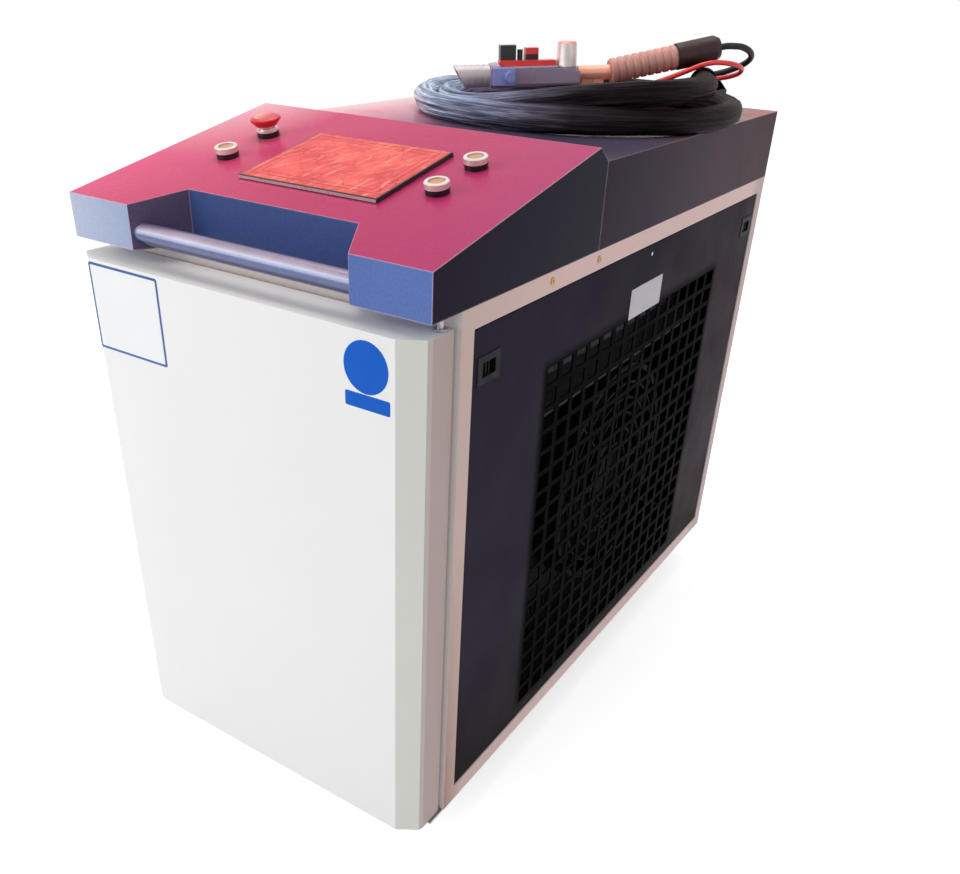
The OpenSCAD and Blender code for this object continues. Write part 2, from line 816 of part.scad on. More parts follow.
module wheel(x, y) {
    tread = 3;
    color("dimgray") translate([x, y - trail, axle_z]) rotate([0, 90, 0]) rotate_extrude($fn = 64) polygon([
        [axle_d / 2 + run_gap, -wheel_w / 2 - 1],
        [axle_d, -wheel_w / 2 - 1],
        [axle_d, -wheel_w / 2 + tread],
        [wheel_d / 2 - 2 * tread, -wheel_w / 2 + tread],
        [wheel_d / 2 - 2 * tread, -wheel_w / 2],
        [wheel_d / 2 - tread, -wheel_w / 2],
        [wheel_d / 2, -wheel_w / 2 + tread],
        [wheel_d / 2, wheel_w / 2 - tread],
        [wheel_d / 2 - tread, wheel_w / 2],
        [wheel_d / 2 - 2 * tread, wheel_w / 2],
        [wheel_d / 2 - 2 * tread, wheel_w / 2 - tread],
        [axle_d, wheel_w / 2 - tread],
        [axle_d, wheel_w / 2 + 1],
        [axle_d / 2 + run_gap, wheel_w / 2 + 1]]);
}

module wheel_front_right() {
    wheel(caster_x, caster_y0);
}

module wheel_front_left() {
    wheel(-caster_x, caster_y0);
}

module wheel_rear_right() {
    wheel(caster_x, caster_y1);
}

module wheel_rear_left() {
    wheel(-caster_x, caster_y1);
}

// Inside: an upright plate behind the door, and a deck over the chiller
wall_setback = 152;
deck_up = 500;
wall_back_y = frame_y + wall_setback;
deck_z = base_z + deck_up;
deck_t = 2.5;
deck_lip = 12;
ledge_w = 18;

module partition() {
    color("gainsboro") difference() {
        union() {
            block([-deck_x, wall_back_y, floor_z], [deck_x, wall_back_y + sheet_t, top_z - sheet_t]);
            for (z = [deck_z - deck_t - sheet_t, floor_z]) block([-deck_x, wall_back_y, z],
                [deck_x, wall_back_y + ledge_w, z + sheet_t]);
        }
        for (s = [-1, 1]) translate([s * deck_x * 0.8, wall_back_y - over, deck_z + deck_x / 2]) rotate([-90, 0, 0])
            cylinder(d = hose_d, h = 2 * sheet_t + over);
    }
}

module inner_deck() {
    color("gainsboro") union() {
        block([-deck_x, wall_back_y + sheet_t, deck_z - deck_t], [deck_x, rear_y - sheet_t, deck_z]);
        for (s = [-1, 1]) block([s < 0 ? -deck_x : deck_x - sheet_t, wall_back_y + 2 * ledge_w, deck_z - deck_lip],
            [s < 0 ? -deck_x + sheet_t : deck_x, rear_y - sheet_t, deck_z]);
    }
}

// Laser source: a finned box on the deck
source_w = 360;
source_l = 560;
source_h = 112;
source_back = 100;
source_y0 = wall_back_y + source_back;
source_wall = 12;
fin_count = 17;
fin_h = 14;
fin_t = 3;

module laser_source() {
    color("silver") union() {
        difference() {
            block([-source_w / 2, source_y0, deck_z], [source_w / 2, source_y0 + source_l, deck_z + source_h]);
            block([-source_w / 2 + source_wall, source_y0 + source_wall, deck_z - over],
                [source_w / 2 - source_wall, source_y0 + source_l - source_wall, deck_z + source_h - source_wall]);
        }
        for (i = [0:fin_count - 1]) translate([-source_w / 2 + i * (source_w - fin_t) / (fin_count - 1), 0, 0])
            block([0, source_y0 + 2 * fin_h, deck_z + source_h - over],
                [fin_t, source_y0 + source_l - 2 * fin_h, deck_z + source_h + fin_h]);
        for (x = [-0.3, 0, 0.3]) translate([x * source_w, source_y0 - fin_h, deck_z + source_h / 2])
            rotate([-90, 0, 0]) cylinder(d = fin_h + 4, h = fin_h + over);
    }
}

// Chiller fan and condenser behind the right-hand grille
fan_y = (pan_y0 + pan_y1) / 2 + grille_shift;
fan_z = (win_z0 + win_z1) / 2 - grille_drop;
fan_x1 = half_w - panel_inset - pan_d - sheet_t;
ring_t = 46;
fan_x0 = fan_x1 - ring_t;
ring_wall = 4;
plate_edge = 12;
fan_gap = 5;
hub_d = 96;
shaft_d = 12;
motor_l = 40;
condenser_t = 44;
condenser_x1 = fan_x0 - motor_l - 6;
wire_d = 4;
guard_rings = 6;

module along_x(x) {
    translate([x, fan_y, fan_z]) rotate([0, 90, 0]) children();
}

module guard_ring(r) {
    difference() {
        cylinder(r = r + wire_d / 2, h = wire_d, $fn = 96);
        translate([0, 0, -over]) cylinder(r = r - wire_d / 2, h = wire_d + 2 * over, $fn = 96);
    }
}

module fan_ring() {
    half = fan_d / 2 + ring_wall + plate_edge;
    color("dimgray") {
        difference() {
            union() {
                block([fan_x0, fan_y - half, fan_z - half], [fan_x0 + sheet_t, fan_y + half, fan_z + half]);
                along_x(fan_x0) cylinder(d = fan_d + 2 * ring_wall, h = ring_t, $fn = 96);
                for (s = [-1, 1]) block([condenser_x1, fan_y + s * half - (s > 0 ? sheet_t : 0), floor_z],
                    [fan_x0 + sheet_t, fan_y + s * half + (s > 0 ? 0 : sheet_t), fan_z + half]);
            }
            along_x(fan_x0 - over) cylinder(d = fan_d, h = ring_t + 2 * over, $fn = 96);
        }
        for (i = [0:guard_rings - 1]) along_x(fan_x1 - wire_d) guard_ring(
            hub_d / 2 + i * (fan_d - hub_d - wire_d) / 2 / (guard_rings - 1));
        for (a = [0:45:315]) along_x(fan_x1 - wire_d) rotate([0, 0, a])
            block([hub_d / 2, -wire_d / 2, wire_d / 4], [(fan_d + ring_wall) / 2, wire_d / 2, wire_d * 0.8]);
        for (a = [0:90:270]) along_x(fan_x0 - motor_l / 2) rotate([0, 0, a])
            block([hub_d / 4, -fin_t, -fin_t], [fan_d / 2 + ring_wall, fin_t, fin_t]);
        along_x(fan_x0 - motor_l) cylinder(d = hub_d * 0.8, h = motor_l - fan_gap);
        along_x(fan_x0 - fan_gap - over) cylinder(d = shaft_d, h = ring_t - fan_gap);
        for (a = [0:90:270]) along_x(fan_x0 - motor_l / 2) rotate([0, 0, a]) translate([fan_d / 2 + ring_wall - fin_t, 0, 0])
            block([-fin_t, -fin_t, 0], [fin_t, fin_t, motor_l / 2 + sheet_t]);
    }
}

rotor_w = ring_t - 2 * fan_gap - wire_d;
rotor_hub_d = hub_d - fan_gap;
blade_pitch = 24;
blade_half = (rotor_w / 2 - fin_t) / sin(blade_pitch);
root_share = 0.45;
blade_tip = sqrt(pow(fan_d / 2 - fan_gap, 2) - pow(blade_half, 2));

module fan_blade() {
    root = rotor_hub_d / 2 - fan_gap;
    rotate([blade_pitch, 0, 0]) translate([0, 0, -fin_t / 2]) linear_extrude(fin_t) polygon([
        [root, -root_share * blade_half], [blade_tip, -blade_half],
        [blade_tip, blade_half], [root, root_share * blade_half]]);
}

module fan_rotor() {
    color("black") along_x(fan_x0 + fan_gap / 2) difference() {
        union() {
            cylinder(d = rotor_hub_d, h = rotor_w);
            for (i = [0:blades - 1]) rotate([0, 0, i * 360 / blades]) translate([0, 0, rotor_w / 2]) fan_blade();
        }
        translate([0, 0, -over]) cylinder(d = shaft_d + 2 * run_gap, h = rotor_w + 2 * over);
    }
}

// Condenser: a finned core with header plates, on the floor pan
core_count = 24;
core_rows = 8;
core_side = 10;
core_edge = 6;
core_inset = 4;
core_tube_d = 12;
core_row_in = 45;
core_w = fan_d - 2 * core_side;

module condenser() {
    x0 = condenser_x1 - condenser_t;
    x1 = condenser_x1 - seat_gap;
    y0 = fan_y - core_w / 2;
    z1 = fan_z + core_w / 2;
    color("silver") union() {
        for (i = [0:core_count - 1]) translate([0, i * (core_w - fin_t) / (core_count - 1), 0])
            block([x0 + core_inset, y0, floor_z + core_inset], [x1 - core_inset, y0 + fin_t, z1 - core_inset / 2]);
        for (y = [y0 - core_edge, y0 + core_w]) block([x0, y, floor_z], [x1, y + core_edge, z1]);
        for (i = [0:core_rows - 1]) translate([(x0 + x1) / 2, y0 - core_edge / 2,
            floor_z + core_row_in + i * (z1 - floor_z - 2 * core_row_in) / (core_rows - 1)])
            rotate([-90, 0, 0]) cylinder(d = core_tube_d, h = core_w + core_edge);
        for (z = [floor_z, z1 - core_inset]) block([x0, y0 - core_edge, z], [x1, y0 + core_w + core_edge, z + core_inset]);
    }
}

// Compressor, tank and pump on the floor pan
comp_x = -120;
comp_back = 280;
comp_y = fan_y + comp_back;
comp_d = 150;
comp_h = 230;
foot_h = 14;

module compressor() {
    r = comp_d / 2;
    color("black") translate([comp_x, comp_y, floor_z]) union() {
        translate([0, 0, foot_h]) rotate_extrude() polygon(concat(
            [[0, 0], [r * 0.8, 0], [r, r * 0.2], [r, comp_h - r * 0.5]],
            [for (a = [15:15:90]) [r * cos(a), comp_h - r * 0.5 + r * 0.5 * sin(a)]]));
        for (a = [30:120:270]) rotate([0, 0, a]) translate([r, 0, 0]) union() {
            cylinder(d = 2 * foot_h, h = foot_h);
            translate([-foot_h, 0, foot_h]) block([-foot_h, -foot_h, 0], [2 * foot_h, foot_h, fin_t]);
        }
        translate([r + foot_h * 1.6, -r * 0.2, foot_h * 3]) cylinder(d = 3 * foot_h, h = comp_h * 0.6);
        translate([r - foot_h, -r * 0.2 - foot_h / 2, comp_h * 0.5]) cube([2 * foot_h, foot_h, foot_h]);
    }
}

tank_w = 170;
tank_l = 230;
tank_h = 330;
tank_in = 23;
tank_back = 40;
tank_x = -deck_x + tank_in;
tank_y = wall_back_y + tank_back;
band_h = 10;
band_shares = [0.33, 0.66];
neck_d = 60;
neck_h = 12;
lid_d = 76;
lid_h = 22;

module water_tank() {
    color("ivory") translate([tank_x, tank_y, floor_z]) union() {
        cube([tank_w, tank_l, tank_h]);
        for (s = band_shares) translate([-fin_t, -fin_t, s * tank_h])
            cube([tank_w + 2 * fin_t, tank_l + 2 * fin_t, band_h]);
        translate([tank_w / 2, tank_l / 2, tank_h - over]) cylinder(d = neck_d, h = neck_h + over);
        translate([tank_w / 2, tank_l / 2, tank_h + neck_h]) cylinder(d = lid_d, h = lid_h);
    }
}

pump_x = -123;
pump_gap = 70;
pump_y = tank_y + tank_l + pump_gap;
pump_d = 84;
pump_l = 120;
volute_d = 108;
volute_l = 34;
pump_up = 60;
pump_z = floor_z + pump_up;
port_d = 24;
port_h = 80;
port_x = pump_x + pump_l / 2;
pump_foot_w = 22;

module water_pump() {
    mid = pump_x - volute_l / 2;
    color("steelblue") union() {
        translate([mid - pump_l / 2, pump_y, pump_z]) rotate([0, 90, 0]) cylinder(d = pump_d, h = pump_l);
        translate([mid + pump_l / 2 - over, pump_y, pump_z]) rotate([0, 90, 0])
            cylinder(d = volute_d, h = volute_l + over);
        translate([port_x, pump_y, pump_z]) cylinder(d = port_d, h = port_h);
        translate([port_x, pump_y, pump_z]) rotate([90, 0, 0])
            cylinder(d = port_d, h = pump_gap - seat_gap);
        for (s = [-0.35, 0.35]) block([mid + s * pump_l - pump_foot_w / 2, pump_y - pump_d * 0.45, floor_z],
            [mid + s * pump_l + pump_foot_w / 2, pump_y + pump_d * 0.45, pump_z]);
    }
}

// A round tube along points: rings square to the path, joined by triangles
function unit(v) = v / norm(v);
function ahead(p, i) = unit(p[min(i + 1, len(p) - 1)] - p[max(i - 1, 0)]);
function side_of(t) = norm(cross(t, [0, 0, 1])) > 0.05 ? unit(cross(t, [0, 0, 1])) : [1, 0, 0];
function ring_at(c, t, r, n) = let (u = side_of(t), v = cross(u, t))
    [for (k = [0:n - 1]) c + r * (cos(360 * k / n) * u + sin(360 * k / n) * v)];

module tube(path, r, n) {
    m = len(path);
    points = [for (i = [0:m - 1]) each ring_at(path[i], ahead(path, i), r, n)];
    walls = [for (i = [0:m - 2]) for (k = [0:n - 1]) for (s = [0, 1]) let (
        a = i * n + k, b = i * n + (k + 1) % n, c = a + n, d = b + n) s == 0 ? [a, b, d] : [a, d, c]];
    caps = [for (k = [1:n - 2]) for (s = [0, 1]) s == 0 ? [0, k + 1, k]
        : [(m - 1) * n, (m - 1) * n + k, (m - 1) * n + k + 1]];
    polyhedron(points, concat(walls, caps), convexity = 10);
}

// A smooth path through hand-chosen points
function blend4(a, b, c, d, t) = 0.5 * (2 * b + (c - a) * t + (2 * a - 5 * b + 4 * c - d) * t * t
    + (3 * b - a - 3 * c + d) * t * t * t);
function smooth_path(p, n) = [for (i = [0:len(p) - 2]) for (k = [0:n - 1])
    blend4(p[max(i - 1, 0)], p[i], p[i + 1], p[min(i + 2, len(p) - 1)], k / n), p[len(p) - 1]];

pipe_r = 9;

module coolant_pipes() {
    low = [port_x, pump_y, pump_z + port_h + seat_gap];
    high = [port_x, pump_y, deck_z - deck_t - seat_gap];
    lift = [0, 0, 2 * pipe_r];
    out = [0, 2 * pipe_r, 0];
    top = [comp_x, comp_y, floor_z + foot_h + comp_h + seat_gap];
    inlet = [condenser_x1 - condenser_t / 2, fan_y + core_w / 2 + core_edge + seat_gap, fan_z + core_w / 4];
    color("peru") {
        tube(concat([low], smooth_path([low + lift, (low + high) / 2 - 2 * out, high - lift], 4), [high]), pipe_r, 8);
        tube(concat([top], smooth_path([top + lift, 0.8 * top + 0.2 * inlet + 4 * lift,
            0.4 * top + 0.6 * inlet + 2 * out + 2 * lift, inlet + 2 * out + lift / 2, inlet + out], 4), [inlet]), pipe_r, 8);
    }
}

// Electrical pieces on the partition's front
unit_y = wall_back_y;
top_rail_up = 60;
low_rail_down = 90;
rail_zs = [deck_z + top_rail_up, deck_z - low_rail_down];
rail_l = 380;
rail_h = 35;
rail_t = 8;
breaker_w = 35;
breaker_h = 84;
breaker_t = 54;
breaker_count = 6;
unit_gap = 2;
contactor_w = 40;
contactor_t = 66;
contactor_gap = 6;
contactor_in = 20;
terminal_w = 19;
terminal_h = 60;
terminal_t = 42;
terminal_gap = 3;
supply_w = 110;
supply_t = 58;
driver_w = 170;
driver_h = 140;
driver_t = 60;
driver_down = 200;
duct_w = 340;
duct_h = 60;
duct_t = 70;
duct_down = 380;
duct_wall = 4;
duct_slot_w = 9;
duct_step = 20;
duct_slots = 16;
first_x = -rail_l / 2 + 2 * contactor_in;

// A unit on the rail, from its left edge, its middle height and its size
module unit_box(x, z, size) {
    block([x, unit_y - rail_t - size[1], z - size[2] / 2], [x + size[0], unit_y - rail_t, z + size[2] / 2]);
}

module electrical_units() {
    right = rail_l / 2;
    duct_z = deck_z - duct_down - duct_h;
    color("gray") {
        for (z = rail_zs) block([-right, unit_y - rail_t, z - rail_h / 2], [right, unit_y, z + rail_h / 2]);
        for (i = [0:breaker_count - 1]) breaker_box(first_x + i * (breaker_w + unit_gap), i == 0);
        for (i = [0:2]) unit_box(right - contactor_in - (i + 1) * contactor_w - i * contactor_gap, rail_zs[0],
            [contactor_w, contactor_t, breaker_h]);
        for (i = [0:9]) unit_box(-right + contactor_in / 2 + i * (terminal_w + terminal_gap), rail_zs[1],
            [terminal_w, terminal_t, terminal_h]);
        unit_box(right - contactor_in / 2 - supply_w, rail_zs[1], [supply_w, supply_t, supply_w]);
        for (x = [-right, right - driver_w]) block([x, unit_y - driver_t, deck_z - driver_down - driver_h],
            [x + driver_w, unit_y, deck_z - driver_down]);
        difference() {
            block([-duct_w / 2, unit_y - duct_t, duct_z], [duct_w / 2, unit_y, duct_z + duct_h]);
            for (i = [0:duct_slots - 1]) translate([(i + 0.5 - duct_slots / 2) * duct_step - duct_slot_w / 2,
                unit_y - duct_t - over, duct_z + duct_h / 4]) cube([duct_slot_w, duct_wall + over, duct_h / 2]);
        }
    }
}

toggle_in = 5;
toggle_y = unit_y - rail_t - breaker_t + toggle_in;
toggle_z = rail_zs[0];
toggle_w = 12;
toggle_d = 10;
toggle_t = 6;
toggle_l = 22;
toggle_tilt = 32;
toggle_pin_d = 4;
toggle_pin_l = 30;
toggle_x = first_x + breaker_w / 2;

module breaker_box(x, moving) {
    difference() {
        unit_box(x, rail_zs[0], [breaker_w, breaker_t, breaker_h]);
        if (moving) translate([toggle_x, toggle_y, toggle_z])
            block([-toggle_w / 2 - seat_gap, -2 * toggle_in, -toggle_w], [toggle_w / 2 + seat_gap, 2 * toggle_in, toggle_w]);
        if (moving) translate([x - over, toggle_y, toggle_z]) rotate([0, 90, 0])
            cylinder(d = toggle_pin_d + 2 * run_gap, h = breaker_w + 2 * over);
    }
}

module breaker_toggle() {
    color("black") translate([toggle_x, toggle_y, toggle_z]) union() {
        rotate([0, 90, 0]) cylinder(d = toggle_d, h = toggle_w, center = true);
        rotate([0, 90, 0]) cylinder(d = toggle_pin_d, h = toggle_pin_l, center = true);
        rotate([toggle_tilt, 0, 0]) block([-toggle_w / 2, -toggle_l, -toggle_t / 2], [toggle_w / 2, 0, toggle_t / 2]);
    }
}

// Supply hose: outlet hood, coil, cuff
coil_x = 22;
coil_y = 205;
coil_step = 30;
coil_shares = [1.107, 1.054, 1.018, 0.996, 0.982, 0.987, 0.996, 1.009, 1.031, 1.063, 1.076, 1.036,
    0.946, 0.893, 0.857, 0.835, 0.826, 0.826, 0.839, 0.902, 0.982, 0.929, 0.848];
layer = hose_d + 0.6;
hose_z = cover_z + seat_gap + hose_d / 2;
outlet_x = 112;
outlet_y = coil_y + coil_r * coil_shares[0];
outlet_l = 62;
outlet_w = 44;
outlet_h = 42;
gland_l = 14;
coil_a0 = 90;
coil_a1 = 735;
climb_a0 = 600;
climb_a1 = 690;

function ease(t) = t <= 0 ? 0 : t >= 1 ? 1 : t * t * (3 - 2 * t);
function coil_share(k, t) = blend4(coil_shares[max(k - 1, 0)], coil_shares[k], coil_shares[k + 1],
    coil_shares[min(k + 2, len(coil_shares) - 1)], t);
function coil_rad(a) = let (w = (a - coil_a0) / coil_step, k = min(floor(w), len(coil_shares) - 2))
    coil_r * coil_share(k, w - k);
function coil_at(a) = [coil_x + coil_rad(a) * cos(a), coil_y + coil_rad(a) * sin(a),
    hose_z + layer * ease((a - climb_a0) / (climb_a1 - climb_a0))];
coil_start = [outlet_x - gland_l, outlet_y, hose_z];
cuff_dir = unit(coil_at(coil_a1) - coil_at(coil_a1 - over));
coil_stop = coil_at(coil_a1) + hose_d * cuff_dir;
coil_path = concat([coil_start, coil_start - [hose_d, 0, 0]],
    [for (a = [coil_a0:15:coil_a1]) coil_at(a)], [coil_stop]);
coil_far = 6;
coil_gap = min([for (i = [0:len(coil_path) - 1 - coil_far]) for (j = [i + coil_far:len(coil_path) - 1])
    norm(coil_path[i] - coil_path[j])]) - hose_d;
echo(coil_least_gap = coil_gap);

module cable_outlet() {
    y = outlet_y;
    color("dimgray") difference() {
        union() {
            block([outlet_x, y - outlet_w / 2, cover_z], [outlet_x + outlet_l, y + outlet_w / 2, cover_z + outlet_h]);
            translate([outlet_x - gland_l, y, hose_z]) rotate([0, 90, 0]) cylinder(d = hose_d, h = gland_l + over);
        }
        block([outlet_x + sheet_t, y - outlet_w / 2 + sheet_t, cover_z - over],
            [outlet_x + outlet_l - sheet_t, y + outlet_w / 2 - sheet_t, cover_z + outlet_h - sheet_t]);
        translate([outlet_x - gland_l - over, y, hose_z]) rotate([0, 90, 0])
            cylinder(d = hose_d - 8, h = gland_l + 2 * over + sheet_t);
        translate([outlet_x + outlet_l, y, cover_z + outlet_h]) rotate([0, 45, 0])
            cube([outlet_h / 2, outlet_w * 2, outlet_h / 2], center = true);
    }
}

module hose_coil() {
    color("midnightblue") tube(coil_path, hose_d / 2, 6);
}

cuff_l = 30;
cuff_d = 40;
cuff_end_d = 30;
cuff_end = coil_stop + cuff_l * cuff_dir;

module umbilical_cuff() {
    color("black") translate(coil_stop) rotate([0, 0, atan2(cuff_dir[1], cuff_dir[0])]) rotate([0, 90, 0])
        cylinder(d1 = cuff_d, d2 = cuff_end_d, h = cuff_l);
}

// Gun: its own axis runs from the nozzle's tip back, and bends up at the grip
gun_rest = 0.6;
gun_at = [-94, 60, hose_z + hose_d / 2 + nozzle_d / 2 + gun_rest];
gun_turn = 41.8;
gun_tilt = 2.6;
gun_bend = 9.5;
gun_joint_shares = [0.13, 0.46, 0.5625, 0.275, 0.4375];
nozzle_l = gun_l * gun_joint_shares[0];
tube_x = gun_l * gun_joint_shares[1];
bend_x = gun_l * gun_joint_shares[2];
grip_l = gun_l * gun_joint_shares[3];
boot_l = gun_l * gun_joint_shares[4];

module at_gun() {
    translate(gun_at) rotate([0, 0, gun_turn]) rotate([0, -gun_tilt, 0]) children();
}

module at_grip() {
    at_gun() translate([bend_x, 0, 0]) rotate([0, -gun_bend, 0]) children();
}

module gun_rod(x0, x1, d0, d1) {
    translate([x0, 0, 0]) rotate([0, 90, 0]) cylinder(d1 = d0, d2 = d1, h = x1 - x0);
}

// A length along the gun at a rise, and a place by the gun's own axes
function heading(rise) = [cos(rise) * cos(gun_turn), cos(rise) * sin(gun_turn), sin(rise)];
function gun_point(p) = gun_at + p[0] * heading(gun_tilt) + p[1] * [-sin(gun_turn), cos(gun_turn), 0]
    + p[2] * heading(gun_tilt + 90);
grip_dir = heading(gun_tilt + gun_bend);

nozzle_wall = 3.5;
ridge_count = 4;
ridge_gap = 9;
tip_cut = 28;

module gun_nozzle() {
    color("thistle") at_gun() difference() {
        union() {
            gun_rod(0, nozzle_l, nozzle_d, nozzle_d);
            for (i = [1:ridge_count]) gun_rod(nozzle_l - i * ridge_gap, nozzle_l - (i - 0.5) * ridge_gap,
                nozzle_d + over, nozzle_d + over);
        }
        gun_rod(-over, nozzle_l + over, nozzle_d - 2 * nozzle_wall, nozzle_d - 2 * nozzle_wall);
        translate([0, 0, nozzle_d / 2]) rotate([0, -tip_cut, 0]) translate([-nozzle_d, 0, 0])
            cube([2 * nozzle_d, 2 * nozzle_d, 6 * nozzle_d], center = true);
    }
}

body_round_d = 40;
body_w2 = 34;
side_shares = [[0.13, -0.40], [0.46, -0.32], [0.46, 0.12], [0.375, 0.22], [0.375, 0.3], [0.165, 0.3],
    [0.16, 0.42], [0.135, 0.38], [0.13, 0.24]];
motor_x = gun_l * 0.4175;
motor_seat = 10;
motor_up = 42;
motor_lip = 2;
drawer_x = gun_l * 0.175;
drawer_h = 22;
drawer_l = 32;
drawer_out = 25;
drawer_in = 6;
knob_d = 14;
knob_l = 8;

module gun_body() {
    color("dimgray") at_gun() difference() {
        union() {
            intersection() {
                translate([0, body_w2 / 2, 0]) rotate([90, 0, 0]) linear_extrude(body_w2)
                    polygon([for (p = side_shares) [p[0] * gun_l, p[1] * body_round_d]]);
                gun_rod(nozzle_l - over, tube_x + over, body_round_d, body_round_d);
            }
            translate([motor_x, 0, 0]) cylinder(d = motor_d, h = motor_seat);
        }
        gun_rod(nozzle_l - over, drawer_x, nozzle_d - 2 * nozzle_wall, nozzle_d - 2 * nozzle_wall);
        translate([drawer_x, 0, 0]) block([-drawer_l / 2 - seat_gap, -body_round_d, -drawer_h / 2 - seat_gap],
            [drawer_l / 2 + seat_gap, drawer_in + seat_gap, drawer_h / 2 + seat_gap]);
    }
}

module lens_drawer() {
    color("slateblue") at_gun() translate([drawer_x, 0, 0]) difference() {
        union() {
            block([-drawer_l / 2, -drawer_out, -drawer_h / 2], [drawer_l / 2, drawer_in, drawer_h / 2]);
            translate([drawer_l / 4, over - drawer_out, 0]) rotate([90, 0, 0]) cylinder(d = knob_d, h = knob_l + over);
        }
        translate([0, -drawer_in, 0]) rotate([0, 90, 0])
            cylinder(d = drawer_h - 2 * nozzle_wall, h = drawer_l + 2 * over, center = true);
    }
}

module gun_motor_cover() {
    color("silver") at_gun() translate([motor_x, 0, 0]) rotate_extrude() polygon([
        [0, motor_seat + seat_gap], [motor_d / 2, motor_seat + seat_gap],
        [motor_d / 2 - over, motor_up - motor_lip], [motor_d / 2 - over - motor_lip, motor_up], [0, motor_up]]);
}

// Fittings on the body: a red bracket with black connectors
plate_xs = [67, 149.7];
plate_ys = [-8, 12];
plate_zs = [12.3, 19];
box_xs = [68, 91];
box_ys = [-4, 11];
box_top = 39;
pin_plug = [98, 3];
pin_plug_d = 8;
pin_plug_top = 33;
cube_xs = [105, 124];
cube_top = 35;

module gun_fittings() {
    low = plate_zs[1] - over;
    color("firebrick") at_gun() union() {
        block([plate_xs[0], plate_ys[0], plate_zs[0]], [plate_xs[1], plate_ys[1], plate_zs[1]]);
        block([box_xs[0], box_ys[0], low], [box_xs[1], box_ys[1], box_top]);
        translate([pin_plug[0], pin_plug[1], low]) cylinder(d = pin_plug_d, h = pin_plug_top - low);
        block([cube_xs[0], box_ys[0], low], [cube_xs[1], box_ys[1], cube_top]);
    }
}

// Copper tube with the trigger's housing and the gas tube's socket below it
copper_d = 20;
copper_end = 8;
house_xs = [190, 223];
slot_xs = [192, 220];
house_w = 12;
house_zs = [-19, -8];
trigger_slot_w = 8;
trigger_z = -9;
trigger_travel = 4;
trigger_h = 12;
socket_x = 221;
socket_l = 10;
socket_at = [-8, -21];
socket_d = 11;

module gun_tube() {
    color("sandybrown") difference() {
        union() {
            at_gun() gun_rod(tube_x, bend_x + over, copper_d, copper_d);
            at_grip() gun_rod(-over, copper_end, copper_d, copper_d);
            at_gun() block([house_xs[0], -house_w / 2, house_zs[0]], [house_xs[1], house_w / 2, house_zs[1]]);
            at_gun() translate([socket_x, socket_at[0], socket_at[1]]) rotate([0, 90, 0])
                cylinder(d = socket_d, h = socket_l);
        }
        at_gun() block([slot_xs[0], -trigger_slot_w / 2, house_zs[0] - over], [slot_xs[1], trigger_slot_w / 2, trigger_z]);
    }
}

module gun_trigger() {
    top = trigger_z - trigger_travel - seat_gap;
    color("black") at_gun() block([slot_xs[0] + seat_gap, -trigger_slot_w / 2 + seat_gap, top - trigger_h],
        [slot_xs[1] - seat_gap, trigger_slot_w / 2 - seat_gap, top]);
}

rib_count = 9;
rib_d = 34;
rib_low_d = 30;
rib_shares = [0, 0.2, 0.7, 0.9];

module gun_grip() {
    x0 = copper_end + seat_gap;
    step = (grip_l - x0) / rib_count;
    color("rosybrown") at_grip() translate([x0, 0, 0]) rotate([0, 90, 0]) rotate_extrude() polygon(concat(
        [[0, 0]],
        [for (i = [0:rib_count - 1]) for (s = [0:3]) [
            (s == 0 || s == 3 ? rib_low_d : rib_d) / 2, (i + rib_shares[s]) * step]],
        [[rib_low_d / 2, grip_l - x0 - seat_gap], [0, grip_l - x0 - seat_gap]]));
}

lead_r = 4.5;
red_r = 3.5;
boot_d = 36;
boot_end_d = 28;
boot_taper = 8;
bore_deep = 4;
bore_gap = 1.5;

module gun_boot() {
    color("black") at_grip() difference() {
        union() {
            gun_rod(grip_l, boot_l - boot_taper, boot_d, boot_d);
            gun_rod(boot_l - boot_taper, boot_l, boot_d, boot_end_d);
        }
        gun_rod(boot_l - bore_deep, boot_l + over, 2 * (lead_r + bore_gap), 2 * (lead_r + bore_gap));
    }
}

// The lead and the gas tube loop from the gun into the cuff's end, side by side
boot_end = gun_at + bend_x * heading(gun_tilt) + boot_l * grip_dir;
cuff_side = 6;
straight = 12;
beside = cuff_side * [cuff_dir[1], -cuff_dir[0], 0];
lead_from = boot_end - (bore_deep - seat_gap) * grip_dir;
lead_to = cuff_end + seat_gap * cuff_dir - beside;
red_from = gun_point([socket_x + socket_l + seat_gap, socket_at[0], socket_at[1]]);
red_to = cuff_end + seat_gap * cuff_dir + beside;
lead_route = [[214, 335, 966], [228, 350, 965], [236, 368, 958], [232, 386, 948], [216, 397, 937],
    [196, 395, 928], [177, 387, 922], [166, 371, 919]];
red_route = [[104, 226, 907], [128, 243, 912], [152, 256, 921], [176, 266, 932], [197, 276, 942], [213, 289, 946],
    [229, 305, 945], [237, 324, 941], [236, 343, 935], [225, 359, 928], [207, 366, 922], [191, 358, 919]];

function between(from, from_dir, route, to, to_dir) = concat([from],
    smooth_path(concat([from + straight * from_dir], route, [to + 2 * straight * to_dir, to + straight * to_dir]), 2), [to]);

module gun_lead() {
    color("midnightblue") tube(between(lead_from, grip_dir, lead_route, lead_to, cuff_dir), lead_r, 8);
}

module red_tube() {
    color("red") tube(between(red_from, heading(gun_tilt), red_route, red_to, cuff_dir), red_r, 8);
}

